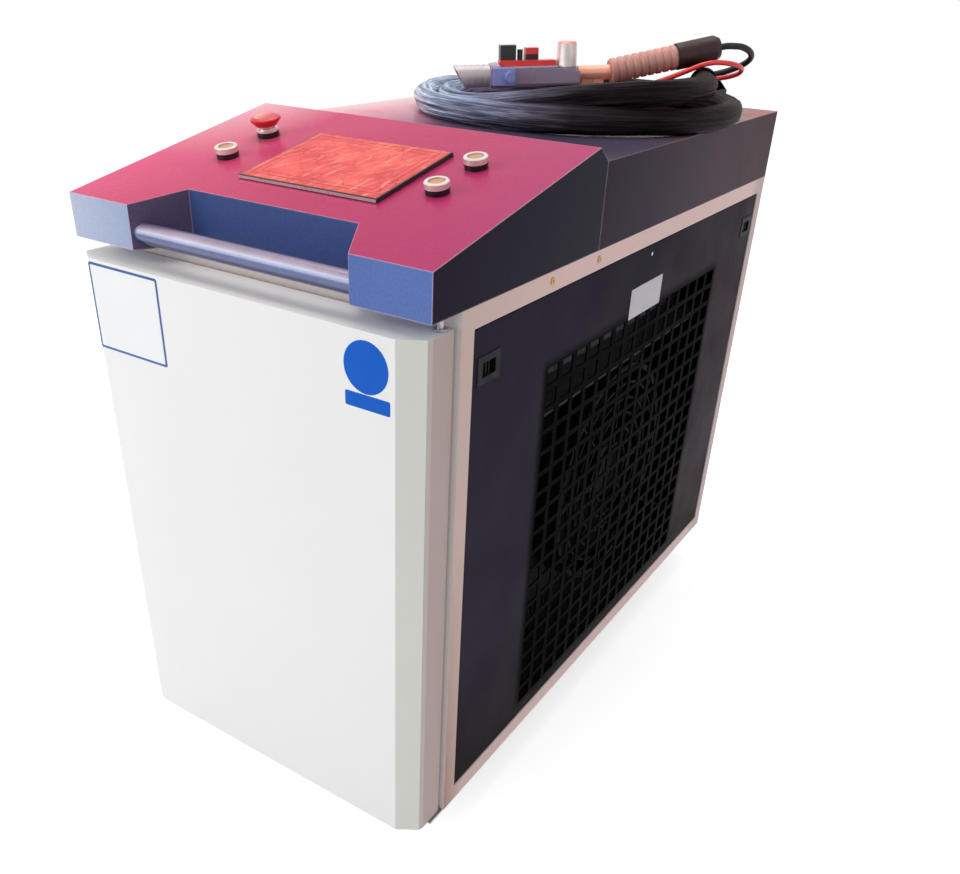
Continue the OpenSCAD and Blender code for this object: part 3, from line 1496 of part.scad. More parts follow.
base_pan();
cabinet_frame();
rear_panel();
console_shell();
handle_bar();
rear_cover();
screen_unit();
button_collars();
button_left();
button_front();
button_rear();
stop_base();
stop_stem();
stop_head();
hinge_pins();
front_door();
door_catches();
side_panel_right();
side_panel_left();
latch_frames_right();
latch_frames_left();
latch_slide_right_front();
latch_slide_right_rear();
latch_slide_left_front();
latch_slide_left_rear();
cover_screws();
caster_bases();
caster_fork_right();
caster_fork_left();
wheel_front_right();
wheel_front_left();
wheel_rear_right();
wheel_rear_left();
partition();
inner_deck();
laser_source();
condenser();
fan_ring();
fan_rotor();
compressor();
water_tank();
water_pump();
coolant_pipes();
electrical_units();
breaker_toggle();
rear_fittings();
cable_outlet();
hose_coil();
umbilical_cuff();
gun_lead();
red_tube();
gun_body();
gun_motor_cover();
gun_fittings();
gun_tube();
gun_grip();
gun_trigger();
gun_nozzle();
lens_drawer();
gun_boot();
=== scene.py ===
import math

import bpy
from mathutils import Matrix, Vector, noise


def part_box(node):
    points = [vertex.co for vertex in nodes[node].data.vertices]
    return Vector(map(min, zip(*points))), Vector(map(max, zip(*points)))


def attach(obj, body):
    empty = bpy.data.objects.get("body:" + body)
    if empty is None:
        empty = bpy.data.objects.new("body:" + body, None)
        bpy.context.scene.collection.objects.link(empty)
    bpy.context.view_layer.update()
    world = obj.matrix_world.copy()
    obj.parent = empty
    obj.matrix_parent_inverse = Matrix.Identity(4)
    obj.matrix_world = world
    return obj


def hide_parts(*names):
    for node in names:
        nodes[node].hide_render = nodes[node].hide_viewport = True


# Laser cleaning machine. Lengths are in millimetres, and MM turns them into Blender's metres
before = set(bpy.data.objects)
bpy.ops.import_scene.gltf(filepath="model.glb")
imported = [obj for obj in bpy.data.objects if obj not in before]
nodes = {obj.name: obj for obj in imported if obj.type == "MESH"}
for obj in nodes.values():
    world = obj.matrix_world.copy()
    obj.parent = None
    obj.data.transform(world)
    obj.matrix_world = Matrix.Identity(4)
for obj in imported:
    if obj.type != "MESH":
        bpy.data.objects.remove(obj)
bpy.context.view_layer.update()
scene = bpy.context.scene
MM = 0.001
X, Y, Z = Vector((1, 0, 0)), Vector((0, 1, 0)), Vector((0, 0, 1))

# Camera: the photograph's place, direction, roll and framing
CAMERA_AT = (727.1, -1186.6, 1049.3)
YAW, PITCH, ROLL = (math.radians(a) for a in (32.23, 31.12, 2.26))
SENSOR_W, LENS = 36.0, 34.83
PHOTO_W, PHOTO_H = 960, 874
AXIS_PX_X, AXIS_PX_Y = 456.2, 530.8  # the pixel where the camera's axis meets the photograph


def make_camera():
    ahead = Vector((-math.sin(YAW) * math.cos(PITCH), math.cos(YAW) * math.cos(PITCH), -math.sin(PITCH)))
    level = Vector((math.cos(YAW), math.sin(YAW), 0.0))
    upright = level.cross(ahead)
    right = level * math.cos(ROLL) + upright * math.sin(ROLL)
    up = upright * math.cos(ROLL) - level * math.sin(ROLL)
    data = bpy.data.cameras.new("camera")
    data.sensor_fit = "HORIZONTAL"
    data.sensor_width = SENSOR_W
    data.lens = LENS
    data.shift_x = (PHOTO_W / 2 - AXIS_PX_X) / PHOTO_W
    data.shift_y = (AXIS_PX_Y - PHOTO_H / 2) / PHOTO_W
    data.clip_start = 0.02
    camera = bpy.data.objects.new("camera", data)
    scene.collection.objects.link(camera)
    turn = Matrix((right, up, -ahead)).transposed().to_4x4()
    camera.matrix_world = Matrix.Translation([c * MM for c in CAMERA_AT]) @ turn
    scene.camera = camera


make_camera()


# Sizes: what the frame gives, and the CAD's own values for the rest
def corners(name):
    """A node's lowest and highest corner at rest."""
    return [Vector([round(c / MM, 2) for c in corner]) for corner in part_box(name)]


CONSOLE_LOW, CONSOLE_HIGH = corners("console_shell")
HALF_W = CONSOLE_HIGH.x
COVER_Z = corners("rear_cover")[1].z
OUTLET_X = corners("cable_outlet")[0].x
DOOR_FACE = corners("front_door")[0].y
RIGHT_FACE = corners("side_panel_right")[1].x
LEFT_FACE = corners("side_panel_left")[0].x
REAR_FACE = corners("rear_panel")[1].y
PAN_FACE = corners("base_pan")[0].z
SHEET_T = 2
SEAT_GAP = 0.3

RIDGE_RISE, CONSOLE_LEN = 69, 331
SLOPE_A = math.atan(RIDGE_RISE / CONSOLE_LEN)
SLOPE_UP = Vector((0, math.cos(SLOPE_A), math.sin(SLOPE_A)))
SLOPE_OUT = Vector((0, -math.sin(SLOPE_A), math.cos(SLOPE_A)))
SLOPE_AT = Vector((0, CONSOLE_LOW.y, CONSOLE_HIGH.z - RIDGE_RISE))
RECESS_BACK = -435.5  # y of the hand recess's rear wall

SCREEN_X, SCREEN_BACK, SCREEN_W, SCREEN_L, SCREEN_H = 11, 178, 197, 147, 5
SCREEN_AT = SLOPE_AT + Vector((SCREEN_X, SCREEN_BACK, SCREEN_BACK * RIDGE_RISE / CONSOLE_LEN))
FILM_INSET = 2
FILM_W, FILM_L = SCREEN_W - 2 * FILM_INSET, SCREEN_L - 2 * FILM_INSET

HOSE_D, LEAD_R, RED_R = 34, 4.5, 3.5
HOSE_R = HOSE_D / 2
HOSE_Z = COVER_Z + SEAT_GAP + HOSE_R
LAYER_GAP = 0.6
LAYER = HOSE_D + LAYER_GAP
COIL_X, COIL_Y, COIL_R = 22, 205, 224
COIL_FROM, COIL_TO, COIL_STEP, SHARE_STEP = 90, 735, 3, 30  # degrees
CLIMB_FROM, CLIMB_TURN = 600, 90  # degrees; here the hose climbs onto its first layer
COIL_SHARES = [1.107, 1.054, 1.018, 0.996, 0.982, 0.987, 0.996, 1.009, 1.031, 1.063, 1.076, 1.036,
               0.946, 0.893, 0.857, 0.835, 0.826, 0.826, 0.839, 0.902, 0.982, 0.929, 0.848]
CUFF_L, CUFF_SIDE, BORE_DEEP = 30, 6, 4
STRAIGHT = 12  # how far a cord runs straight at its ends

NOZZLE_R, GUN_REST = 14.5, 0.6
GUN_AT = Vector((-94, 60, HOSE_Z + HOSE_R + NOZZLE_R + GUN_REST))
GUN_TURN, GUN_TILT, GUN_BEND = 41.8, 2.6, 9.5  # degrees
GUN_L, BEND_X = 400, 225
SOCKET_AT = (231 + SEAT_GAP, -8, -21)


# Curves and meshes
def neighbours(items, k):
    """Items k and k + 1 with the ones beside them, the ends repeated."""
    return items[max(k - 1, 0)], items[k], items[k + 1], items[min(k + 2, len(items) - 1)]


def smooth(a, b, c, d, t):
    """The value at t of a smooth curve that goes from b at 0 to c at 1."""
    bend = (2 * a - 5 * b + 4 * c - d) * t * t
    return 0.5 * (2 * b + (c - a) * t + bend + (3 * b - a - 3 * c + d) * t ** 3)


def spline(points, per):
    """Points of a smooth curve through the given ones."""
    pts = [Vector(p) for p in points]
    out = [smooth(*neighbours(pts, i), k / per) for i in range(len(pts) - 1) for k in range(per)]
    return out + [pts[-1]]


def path_length(points):
    return sum((points[i + 1] - points[i]).length for i in range(len(points) - 1))


def ring_frames(points):
    """A frame square to the path at each point, turned as little as possible along it."""
    out = []
    side = None
    for i, p in enumerate(points):
        ahead = (points[min(i + 1, len(points) - 1)] - points[max(i - 1, 0)]).normalized()
        if side is None:
            side = ahead.cross(Z)
        side = (side - ahead * side.dot(ahead)).normalized()
        out.append((p, side, ahead.cross(side).normalized()))
    return out


def mesh_of(name, verts, faces):
    mesh = bpy.data.meshes.new(name)
    mesh.from_pydata([tuple(v) for v in verts], [], faces)
    mesh.update()
    return mesh


def tube_mesh(name, points, radius, sides):
    """A closed tube; radius is a number or a function of ring index and angle, in metres."""
    verts, faces = [], []
    for i, (p, across, up) in enumerate(ring_frames(points)):
        for k in range(sides):
            a = 2 * math.pi * k / sides
            r = radius(i, a) if callable(radius) else radius
            verts.append(p + across * (r * math.cos(a)) + up * (r * math.sin(a)))
    last = (len(points) - 1) * sides
    for ring in range(0, last, sides):
        for k in range(sides):
            a, b = ring + k, ring + (k + 1) % sides
            faces.append((a, b, b + sides, a + sides))
    faces.append(tuple(range(sides - 1, -1, -1)))
    faces.append(tuple(range(last, last + sides)))
    return mesh_of(name, verts, faces)


def put(name, mesh, body, material, rounded=False):
    """Makes a piece that rides on a body and takes its finish from a slot."""
    obj = bpy.data.objects.new(name, mesh)
    scene.collection.objects.link(obj)
    obj.data.materials.append(material)
    for face in obj.data.polygons:
        face.use_smooth = rounded
    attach(obj, body)
    return obj


# Cords: the same routes as their solids in the CAD
def ease(t):
    t = min(1.0, max(0.0, t))
    return t * t * (3 - 2 * t)


def coil_at(degrees):
    """The hose's middle at an angle round the coil."""
    step = (degrees - COIL_FROM) / SHARE_STEP
    k = min(int(step), len(COIL_SHARES) - 2)
    r = COIL_R * smooth(*neighbours(COIL_SHARES, k), step - k)
    a = math.radians(degrees)
    climb = LAYER * ease((degrees - CLIMB_FROM) / CLIMB_TURN)
    return Vector((COIL_X + r * math.cos(a), COIL_Y + r * math.sin(a), HOSE_Z + climb))


def heading(rise):
    """The direction that the gun is turned to, raised by some degrees."""
    turn, rise = math.radians(GUN_TURN), math.radians(rise)
    return Vector((math.cos(rise) * math.cos(turn), math.cos(rise) * math.sin(turn), math.sin(rise)))


GUN_X, GRIP_DIR, GUN_Z = heading(GUN_TILT), heading(GUN_TILT + GUN_BEND), heading(GUN_TILT + 90)
GUN_Y = Vector((-math.sin(math.radians(GUN_TURN)), math.cos(math.radians(GUN_TURN)), 0))
CUFF_DIR = (coil_at(COIL_TO) - coil_at(COIL_TO - 1)).normalized()
CUFF_END = coil_at(COIL_TO) + CUFF_DIR * (HOSE_D + CUFF_L)
BOOT_END = GUN_AT + GUN_X * BEND_X + GRIP_DIR * (GUN_L - BEND_X)
BESIDE = Vector((CUFF_DIR.y, -CUFF_DIR.x, 0)) * CUFF_SIDE


def gun_point(x, y, z):
    return GUN_AT + GUN_X * x + GUN_Y * y + GUN_Z * z


def coil_points():
    """The hose's middle line in metres: out of the outlet, round the coil and into the cuff."""
    start, stop = Vector((OUTLET_X, coil_at(COIL_FROM).y, HOSE_Z)), coil_at(COIL_TO)
    points = [start - X * (HOSE_D * share) for share in (0, 0.5, 1)]
    points += [coil_at(a) for a in range(COIL_FROM, COIL_TO + 1, COIL_STEP)]
    points += [stop + CUFF_DIR * (HOSE_D * share) for share in (0.5, 1)]
    return [p * MM for p in points]


def cord_points(start, ahead, route, side, per):
    """A cord's line in metres, from its start along a route to its place in the cuff."""
    end = CUFF_END + CUFF_DIR * SEAT_GAP + side
    route = [start + ahead * STRAIGHT, *route, end + CUFF_DIR * 2 * STRAIGHT, end + CUFF_DIR * STRAIGHT]
    return [p * MM for p in [start, *spline(route, per), end]]


COIL = coil_points()
LEAD = cord_points(BOOT_END - GRIP_DIR * (BORE_DEEP - SEAT_GAP), GRIP_DIR, (
    (214, 335, 966), (228, 350, 965), (236, 368, 958), (232, 386, 948), (216, 397, 937), (196, 395, 928),
    (177, 387, 922), (166, 371, 919)), -BESIDE, 6)
RED = cord_points(gun_point(*SOCKET_AT), GUN_X, (
    (104, 226, 907), (128, 243, 912), (152, 256, 921), (176, 266, 932), (197, 276, 942), (213, 289, 946),
    (229, 305, 945), (237, 324, 941), (236, 343, 935), (225, 359, 928), (207, 366, 922), (191, 358, 919)),
    BESIDE, 5)


# Shader nodes
def shader(name):
    mat = bpy.data.materials.new(name)
    mat.use_nodes = True
    return mat, mat.node_tree


def socket(mat, name):
    """An input of the material's own shader."""
    return mat.node_tree.nodes["Principled BSDF"].inputs[name]


def plug(tree, value, target):
    """Links a socket to another, or sets it to a plain value."""
    if isinstance(value, bpy.types.NodeSocket):
        tree.links.new(value, target)
    else:
        target.default_value = value


def node(tree, kind, **values):
    """A new node; each value is a setting of it or, with _ for a blank, an input."""
    n = tree.nodes.new(kind)
    for key, value in values.items():
        if hasattr(n, key):
            setattr(n, key, value)
        else:
            n.inputs[key.replace("_", " ")].default_value = value
    return n


def lin(rgb):
    """An sRGB colour of 0 to 255 as a linear one with alpha."""
    shares = [c / 255 for c in rgb]
    return (*(c / 12.92 if c <= 0.04045 else ((c + 0.055) / 1.055) ** 2.4 for c in shares), 1.0)


def ramp(tree, factor, stops):
    """Colours along a factor; a stop is a place from 0 to 1 and a linear colour with alpha."""
    r = node(tree, "ShaderNodeValToRGB")
    steps = r.color_ramp.elements
    steps[0].position, steps[0].color = stops[0]
    steps[1].position, steps[1].color = stops[-1]
    for at, colour in stops[1:-1]:
        steps.new(at).color = colour
    plug(tree, factor, r.inputs["Fac"])
    return r.outputs["Color"]


def tones(tree, factor, *stops):
    """A ramp of sRGB colours."""
    return ramp(tree, factor, [(at, lin(rgb)) for at, rgb in stops])


def shades(tree, factor, *stops):
    """A ramp of linear shades, each a grey or red, green and blue."""
    full = [(at, shade if isinstance(shade, tuple) else (shade, shade, shade)) for at, shade in stops]
    return ramp(tree, factor, [(at, (*shade, 1.0)) for at, shade in full])


def mix(tree, factor, a, b, mode="MIX"):
    """a where the factor is 0 and b where it is 1."""
    m = node(tree, "ShaderNodeMix", data_type="RGBA", blend_type=mode)
    plug(tree, factor, m.inputs[0])
    plug(tree, a, m.inputs[6])
    plug(tree, b, m.inputs[7])
    return m.outputs[2]


def math_of(tree, kind, *values, clamp=False):
    m = node(tree, "ShaderNodeMath", operation=kind, use_clamp=clamp)
    for value, target in zip(values, m.inputs):
        plug(tree, value, target)
    return m.outputs[0]


def times(tree, a, b):
    """The product of two factors, kept between 0 and 1."""
    return math_of(tree, "MULTIPLY", a, b, clamp=True)


def map_range(tree, value, low, high, to_low=0.0, to_high=1.0):
    m = node(tree, "ShaderNodeMapRange", From_Min=low, From_Max=high, To_Min=to_low, To_Max=to_high)
    plug(tree, value, m.inputs["Value"])
    return m.outputs["Result"]


def dot_of(tree, a, b):
    d = node(tree, "ShaderNodeVectorMath", operation="DOT_PRODUCT")
    plug(tree, a, d.inputs[0])
    plug(tree, b, d.inputs[1])
    return d.outputs["Value"]


def own(tree, output):
    """The part's own coordinates, so that its tones stay in place when it moves."""
    return node(tree, "ShaderNodeTexCoord").outputs[output]


def place(tree, direction, low, high):
    """0 at one place along a direction and 1 at another."""
    return map_range(tree, dot_of(tree, own(tree, "Object"), tuple(direction)), low * MM, high * MM)


def facing(tree, direction, low, high):
    """0 to 1 as the surface turns towards a direction, from one cosine of the angle to another."""
    return map_range(tree, dot_of(tree, own(tree, "Normal"), tuple(direction)), low, high)


def over_plane(tree, origin, normal, height, soft=0.1):
    """1 above a plane at some height over a point."""
    level = origin.dot(normal) + height
    return place(tree, normal, level - soft, level + soft)


def within(tree, direction, low, high, soft):
    """1 between two places along a direction, with soft ends."""
    rise = place(tree, direction, low - soft, low + soft)
    return times(tree, rise, place(tree, direction, high + soft, high - soft))


def edges(tree, radius):
    """1 along sharp edges, by how far a rounded normal leaves the true one."""
    rounded = node(tree, "ShaderNodeBevel", samples=4, Radius=radius * MM).outputs["Normal"]
    flat = node(tree, "ShaderNodeNewGeometry").outputs["True Normal"]
    return map_range(tree, dot_of(tree, rounded, flat), 1.0, 0.65)


def grain(tree, scale, detail, rough=0.55, vector=None):
    """Noise with about so many grains in a metre, or in a unit of the given vector."""
    n = node(tree, "ShaderNodeTexNoise", Scale=scale, Detail=detail, Roughness=rough)
    plug(tree, own(tree, "Object") if vector is None else vector, n.inputs["Vector"])
    return n.outputs["Fac"]


def bump(mat, height, strength, depth):
    """Adds a bump to the ones that the material has."""
    tree, normal = mat.node_tree, socket(mat, "Normal")
    b = node(tree, "ShaderNodeBump", Strength=strength, Distance=depth * MM)
    plug(tree, height, b.inputs["Height"])
    if normal.is_linked:
        plug(tree, normal.links[0].from_socket, b.inputs["Normal"])
    plug(tree, b.outputs["Normal"], normal)


def worn(tree, colour, scale, dark, detail=5.0, dark_at=0.3, plain_at=0.65):
    """The colour with darker clouds in it."""
    clouds = shades(tree, grain(tree, scale, detail), (dark_at, dark), (plain_at, 1.0))
    return mix(tree, 1.0, colour, clouds, "MULTIPLY")


def smudges(mat, scale, low, high, high_at=0.68):
    """Roughness that goes from low to high in smudges."""
    tree = mat.node_tree
    plug(tree, shades(tree, grain(tree, scale, 8.0), (0.35, low), (high_at, high)), socket(mat, "Roughness"))


def finish(mat, colour, fine, strength, depth=0.2, **values):
    """Links the colour, adds a fine bump and sets the shader's plain values."""
    tree = mat.node_tree
    plug(tree, colour, socket(mat, "Base Color"))
    bump(mat, grain(tree, fine, 2.0), strength, depth)
    for key, value in values.items():
        socket(mat, key.replace("_", " ")).default_value = value
    return mat


# Materials. Their casts of colour are the photograph's, and many of them are painted light, shade and
# reflections
# a side's tone is painted shade and a top's tone is painted reflection
SIDEWAYS, UPWARD = (0.35, 0.8), (0.25, 0.8)  # cosines over which a face takes a side's or a top's tone
GRILLE_Y, GRILLE_Z, GRILLE_SOFT = (-255, 328), (119, 653), 7
COLLAR_TOP, HEAD_TOP = 6.4, 22.6  # heights over the slope
BRACKET_TOP, CONNECTOR_MIDDLE, MOTOR_TOP, LAST_CONNECTOR_X = 19.6, 27, 39.6, 102  # in the gun's own frame
COIL_ACROSS = (0.847, 0.53, 0.0)  # the direction from the coil's left to its right in the photograph


def surface(name, colour, rough=0.5, metal=0.0, spread=0.06, patch=6.0, fine=900.0, strength=0.12, coat=0.0,
            spec=0.3):
    """A plain material with slow changes of tone, smudges in its gloss and a fine bump."""
    mat, tree = shader(name)
    base = lin(colour)
    dark = (*(c * (1 - spread * 2) for c in base[:3]), 1.0)
    pale = (*(min(1.0, c * (1 + spread)) for c in base[:3]), 1.0)
    tone = ramp(tree, grain(tree, patch, 6.0), [(0.3, dark), (0.5, base), (0.72, pale)])
    smudges(mat, patch * 3.1, rough - 0.08, rough + 0.08, 0.65)
    return finish(mat, tone, fine, strength, Metallic=metal, Specular_IOR_Level=spec, Coat_Weight=coat)


def powder_coat(mat, colour, shine, edge):
    """Specks, painted highlights along the edges and smudged gloss, with less shine on the right side."""
    tree = mat.node_tree
    colour = worn(tree, colour, 340.0, (0.9, 0.9, 0.92), detail=3.0, dark_at=0.42, plain_at=0.6)
    # painted highlight along sharp edges, in the edge colour
    colour = mix(tree, times(tree, edges(tree, 2.2), 0.75), colour, lin(edge))
    smudges(mat, 9.0, 0.20, 0.32)
    shine = map_range(tree, facing(tree, X, *SIDEWAYS), 0, 1, shine, 0.02)
    plug(tree, shine, socket(mat, "Specular IOR Level"))
    return finish(mat, colour, 520.0, 0.2, 0.3)


def console_paint():
    """Navy paint under painted light: a warm magenta painted reflection on the slope, paler at its left rear
    corner, painted pale blue light at the left of the front, and painted shade in the recess and on the
    sides.
    """
    mat, tree = shader("console_paint")
    # painted reflection: warm magenta on the upward faces of the navy slope
    slope = tones(tree, place(tree, X, -HALF_W, HALF_W), (0.0, (222, 84, 124)), (0.2, (206, 64, 108)),
                  (0.55, (190, 52, 98)), (1.0, (182, 54, 106)))
    # painted reflection: a pale patch at the left rear corner of the slope
    corner = times(tree, place(tree, X, -120, -HALF_W), place(tree, Y, -360, -170))
    slope = mix(tree, times(tree, corner, 0.8), slope, lin((236, 190, 190)))
    # painted light and shade on the front: pale blue at the left, darker to the right
    front = tones(tree, place(tree, X, -HALF_W, 200), (0.0, (190, 198, 218)), (0.2, (166, 178, 208)),
                  (0.45, (76, 96, 152)), (1.0, (98, 122, 184)))
    # painted shade on the hand recess's rear wall
    front = mix(tree, place(tree, Y, RECESS_BACK + 1, RECESS_BACK - 1), lin((66, 84, 136)), front)
    # painted shade on right-facing faces: the inner cheek, and darker on the outer side
    right = mix(tree, place(tree, X, HALF_W - 15, HALF_W - 5), lin((96, 84, 112)), lin((38, 33, 48)))
    # painted shade on the left outer side
    left = times(tree, facing(tree, -X, *SIDEWAYS), place(tree, -X, HALF_W - 15, HALF_W - 5))
    stand = mix(tree, facing(tree, X, *SIDEWAYS), front, right)
    stand = mix(tree, left, stand, lin((42, 37, 54)))
    # the last colour is the painted highlight along the edges
    return powder_coat(mat, mix(tree, facing(tree, Z, *UPWARD), stand, slope), 0.06, (240, 206, 220))


def cover_paint():
    """The rear cover, navy under painted light: painted reflections on top, pink on the left, grey-navy in
    the middle and orange-brown on the far right, with a painted shadow of the coil, and painted shade on the
    sides.
    """
    mat, tree = shader("cover_paint")
    # painted reflections on the near part of the top
    near = tones(tree, place(tree, X, -HALF_W, HALF_W), (0.0, (236, 196, 198)), (0.12, (222, 130, 150)),
                 (0.4, (92, 74, 96)), (0.75, (66, 62, 80)), (1.0, (84, 78, 94)))
    # painted reflections on the far part of the top; the darkest stop is a painted shadow of the coil
    far = tones(tree, place(tree, X, -HALF_W, HALF_W), (0.0, (240, 214, 212)), (0.3, (112, 76, 84)),
                (0.7, (38, 18, 22)), (1.0, (156, 60, 40)))
    top = mix(tree, place(tree, Y, 20, 380), near, far)
    # painted shade on the side faces
    side = tones(tree, place(tree, Y, -140, 500), (0.0, (46, 34, 52)), (0.6, (70, 50, 62)),
                 (1.0, (68, 36, 44)))
    # the last colour is the painted highlight along the edges
    return powder_coat(mat, mix(tree, facing(tree, Z, *UPWARD), side, top), 0.05, (196, 150, 158))


def panel_paint():
    """Dark navy with painted light and shade along the side, painted darker towards the bottom; the bars
    between the grille's holes are painted nearly black as shade.
    """
    mat, tree = shader("panel_paint")
    # painted light and shade along the side
    plain = tones(tree, place(tree, Y, -420, 480), (0.0, (48, 42, 58)), (0.5, (34, 29, 42)),
                  (1.0, (56, 44, 50)))
    # painted shade, darker towards the bottom
    plain = mix(tree, place(tree, Z, 100, 300), lin((26, 18, 20)), plain)
    # painted shade: the grille's bars nearly black, with less shine
    bars = times(tree, within(tree, Y, *GRILLE_Y, GRILLE_SOFT), within(tree, Z, *GRILLE_Z, GRILLE_SOFT))
    colour = worn(tree, mix(tree, bars, plain, lin((9, 9, 10))), 5.0, (0.78, 0.78, 0.8))
    smudges(mat, 11.0, 0.38, 0.52)
    plug(tree, map_range(tree, bars, 0, 1, 0.014, 0.003), socket(mat, "Specular IOR Level"))
    return finish(mat, colour, 620.0, 0.16)


def door_paint():
    """White, painted lighter and warmer on top as light, and greyer on the bevel and darker on the edge at
    the right as painted shade.
    """
    mat, tree = shader("door_paint")
    # painted light: the up-facing faces lighter and warmer
    colour = mix(tree, facing(tree, Z, 0.5, 0.9), lin((240, 240, 238)), lin((255, 252, 246)))
    # painted shade: the bevel at the right greyer
    colour = mix(tree, facing(tree, X, 0.3, 0.6), colour, lin((226, 226, 216)))
    # painted shade: the right edge darker
    colour = mix(tree, facing(tree, X, 0.9, 0.98), colour, lin((196, 176, 168)))
    smudges(mat, 8.0, 0.36, 0.50)
    return finish(mat, worn(tree, colour, 2.2, 0.975), 700.0, 0.1, Specular_IOR_Level=0.22)


def frame_paint():
    """White, with a painted warm reflection on the right side that is darker at the foot of the front post,
    and painted shade at the side's back end.
    """
    mat, tree = shader("frame_paint")
    # painted warm reflection on the right side, with painted shade at its back end
    side = tones(tree, place(tree, Y, -460, 500), (0.0, (222, 194, 184)), (0.25, (240, 206, 198)),
                 (0.94, (246, 210, 204)), (0.98, (212, 186, 180)))
    foot = mix(tree, place(tree, Z, 80, 500), lin((206, 186, 176)), lin((255, 255, 255)))
    side = mix(tree, place(tree, Y, -400, -440), side, mix(tree, 1.0, side, foot, "MULTIPLY"))
    colour = mix(tree, facing(tree, X, 0.5, 0.9), lin((238, 226, 222)), side)
    return finish(mat, worn(tree, colour, 6.0, 0.94), 700.0, 0.1, Roughness=0.45, Specular_IOR_Level=0.2)


def ring_metal():
    """Black below and polished above: the split of the button's collar and ring."""
    mat, tree = shader("ring_metal")
    up = over_plane(tree, SLOPE_AT, SLOPE_OUT, COLLAR_TOP)
    metal = tones(tree, grain(tree, 60.0, 5.0), (0.3, (216, 206, 196)), (0.7, (240, 232, 224)))
    plug(tree, times(tree, up, 0.45), socket(mat, "Metallic"))
    return finish(mat, mix(tree, up, lin((14, 13, 16)), metal), 900.0, 0.04, Roughness=0.24)


def stop_paint():
    """Red plastic with the photograph's pale shine painted on the left of its top as a highlight."""
    mat, tree = shader("stop_red")
    top = times(tree, over_plane(tree, SLOPE_AT, SLOPE_OUT, HEAD_TOP, 0.6), facing(tree, Z, 0.9, 0.97))
    red = tones(tree, grain(tree, 70.0, 5.0), (0.3, (196, 16, 40)), (0.7, (222, 30, 52)))
    # painted highlight on the left of the top
    shine = times(tree, times(tree, top, place(tree, X, -150, -172)), 0.75)
    return finish(mat, mix(tree, shine, red, lin((240, 196, 186))), 400.0, 0.03, Roughness=0.28,
                  Specular_IOR_Level=0.25, Coat_Weight=0.1)


def fitting_paint():
    """Red bracket and black connectors, the last of them with a red top."""
    mat, tree = shader("gun_fittings")
    red, black = lin((240, 64, 58)), lin((20, 20, 24))
    last = times(tree, over_plane(tree, GUN_AT, GUN_X, LAST_CONNECTOR_X),
                 over_plane(tree, GUN_AT, GUN_Z, CONNECTOR_MIDDLE))
    colour = mix(tree, over_plane(tree, GUN_AT, GUN_Z, BRACKET_TOP), red, black)
    colour = mix(tree, last, colour, red)
    return finish(mat, worn(tree, colour, 90.0, 0.86), 900.0, 0.06, Roughness=0.36)


def motor_paint():
    """Silver grey with a coral top."""
    mat, tree = shader("gun_motor")
    silver = tones(tree, grain(tree, 50.0, 5.0), (0.3, (214, 202, 198)), (0.7, (244, 236, 230)))
    colour = mix(tree, over_plane(tree, GUN_AT, GUN_Z, MOTOR_TOP), silver, lin((255, 140, 126)))
    return finish(mat, colour, 900.0, 0.05, Metallic=0.35, Roughness=0.3)


def bar_paint():
    """The navy handle bar, whose painted tones go round it: painted shade in blue below, a pale painted
    highlight band and a duller painted reflection on top.
    """
    mat, tree = shader("bar_paint")
    # painted shade below, a painted highlight band and a painted reflection on top
    tone = tones(tree, facing(tree, Z, -0.6, 1.0), (0.0, (50, 58, 104)), (0.38, (78, 90, 140)),
                 (0.55, (122, 136, 184)), (0.68, (176, 180, 210)), (0.8, (190, 170, 188)),
                 (1.0, (112, 96, 128)))
    colour = worn(tree, tone, 26.0, (0.84, 0.84, 0.86), dark_at=0.35)
    return finish(mat, colour, 600.0, 0.1, Roughness=0.24, Coat_Weight=0.4)


def round_space(tree, along, across):
    """The tube's own space without a seam: its length, and the cosine and sine of the angle round it."""
    uv = node(tree, "ShaderNodeSeparateXYZ")
    plug(tree, node(tree, "ShaderNodeUVMap", uv_map="UVMap").outputs["UV"], uv.inputs["Vector"])
    turn = math_of(tree, "MULTIPLY", uv.outputs["Y"], 2 * math.pi)
    join = node(tree, "ShaderNodeCombineXYZ")
    plug(tree, uv.outputs["X"], join.inputs["X"])
    plug(tree, math_of(tree, "COSINE", turn), join.inputs["Y"])
    plug(tree, math_of(tree, "SINE", turn), join.inputs["Z"])
    lay = node(tree, "ShaderNodeMapping", Scale=(along, across, across))
    plug(tree, join.outputs["Vector"], lay.inputs["Vector"])
    return lay.outputs["Vector"]


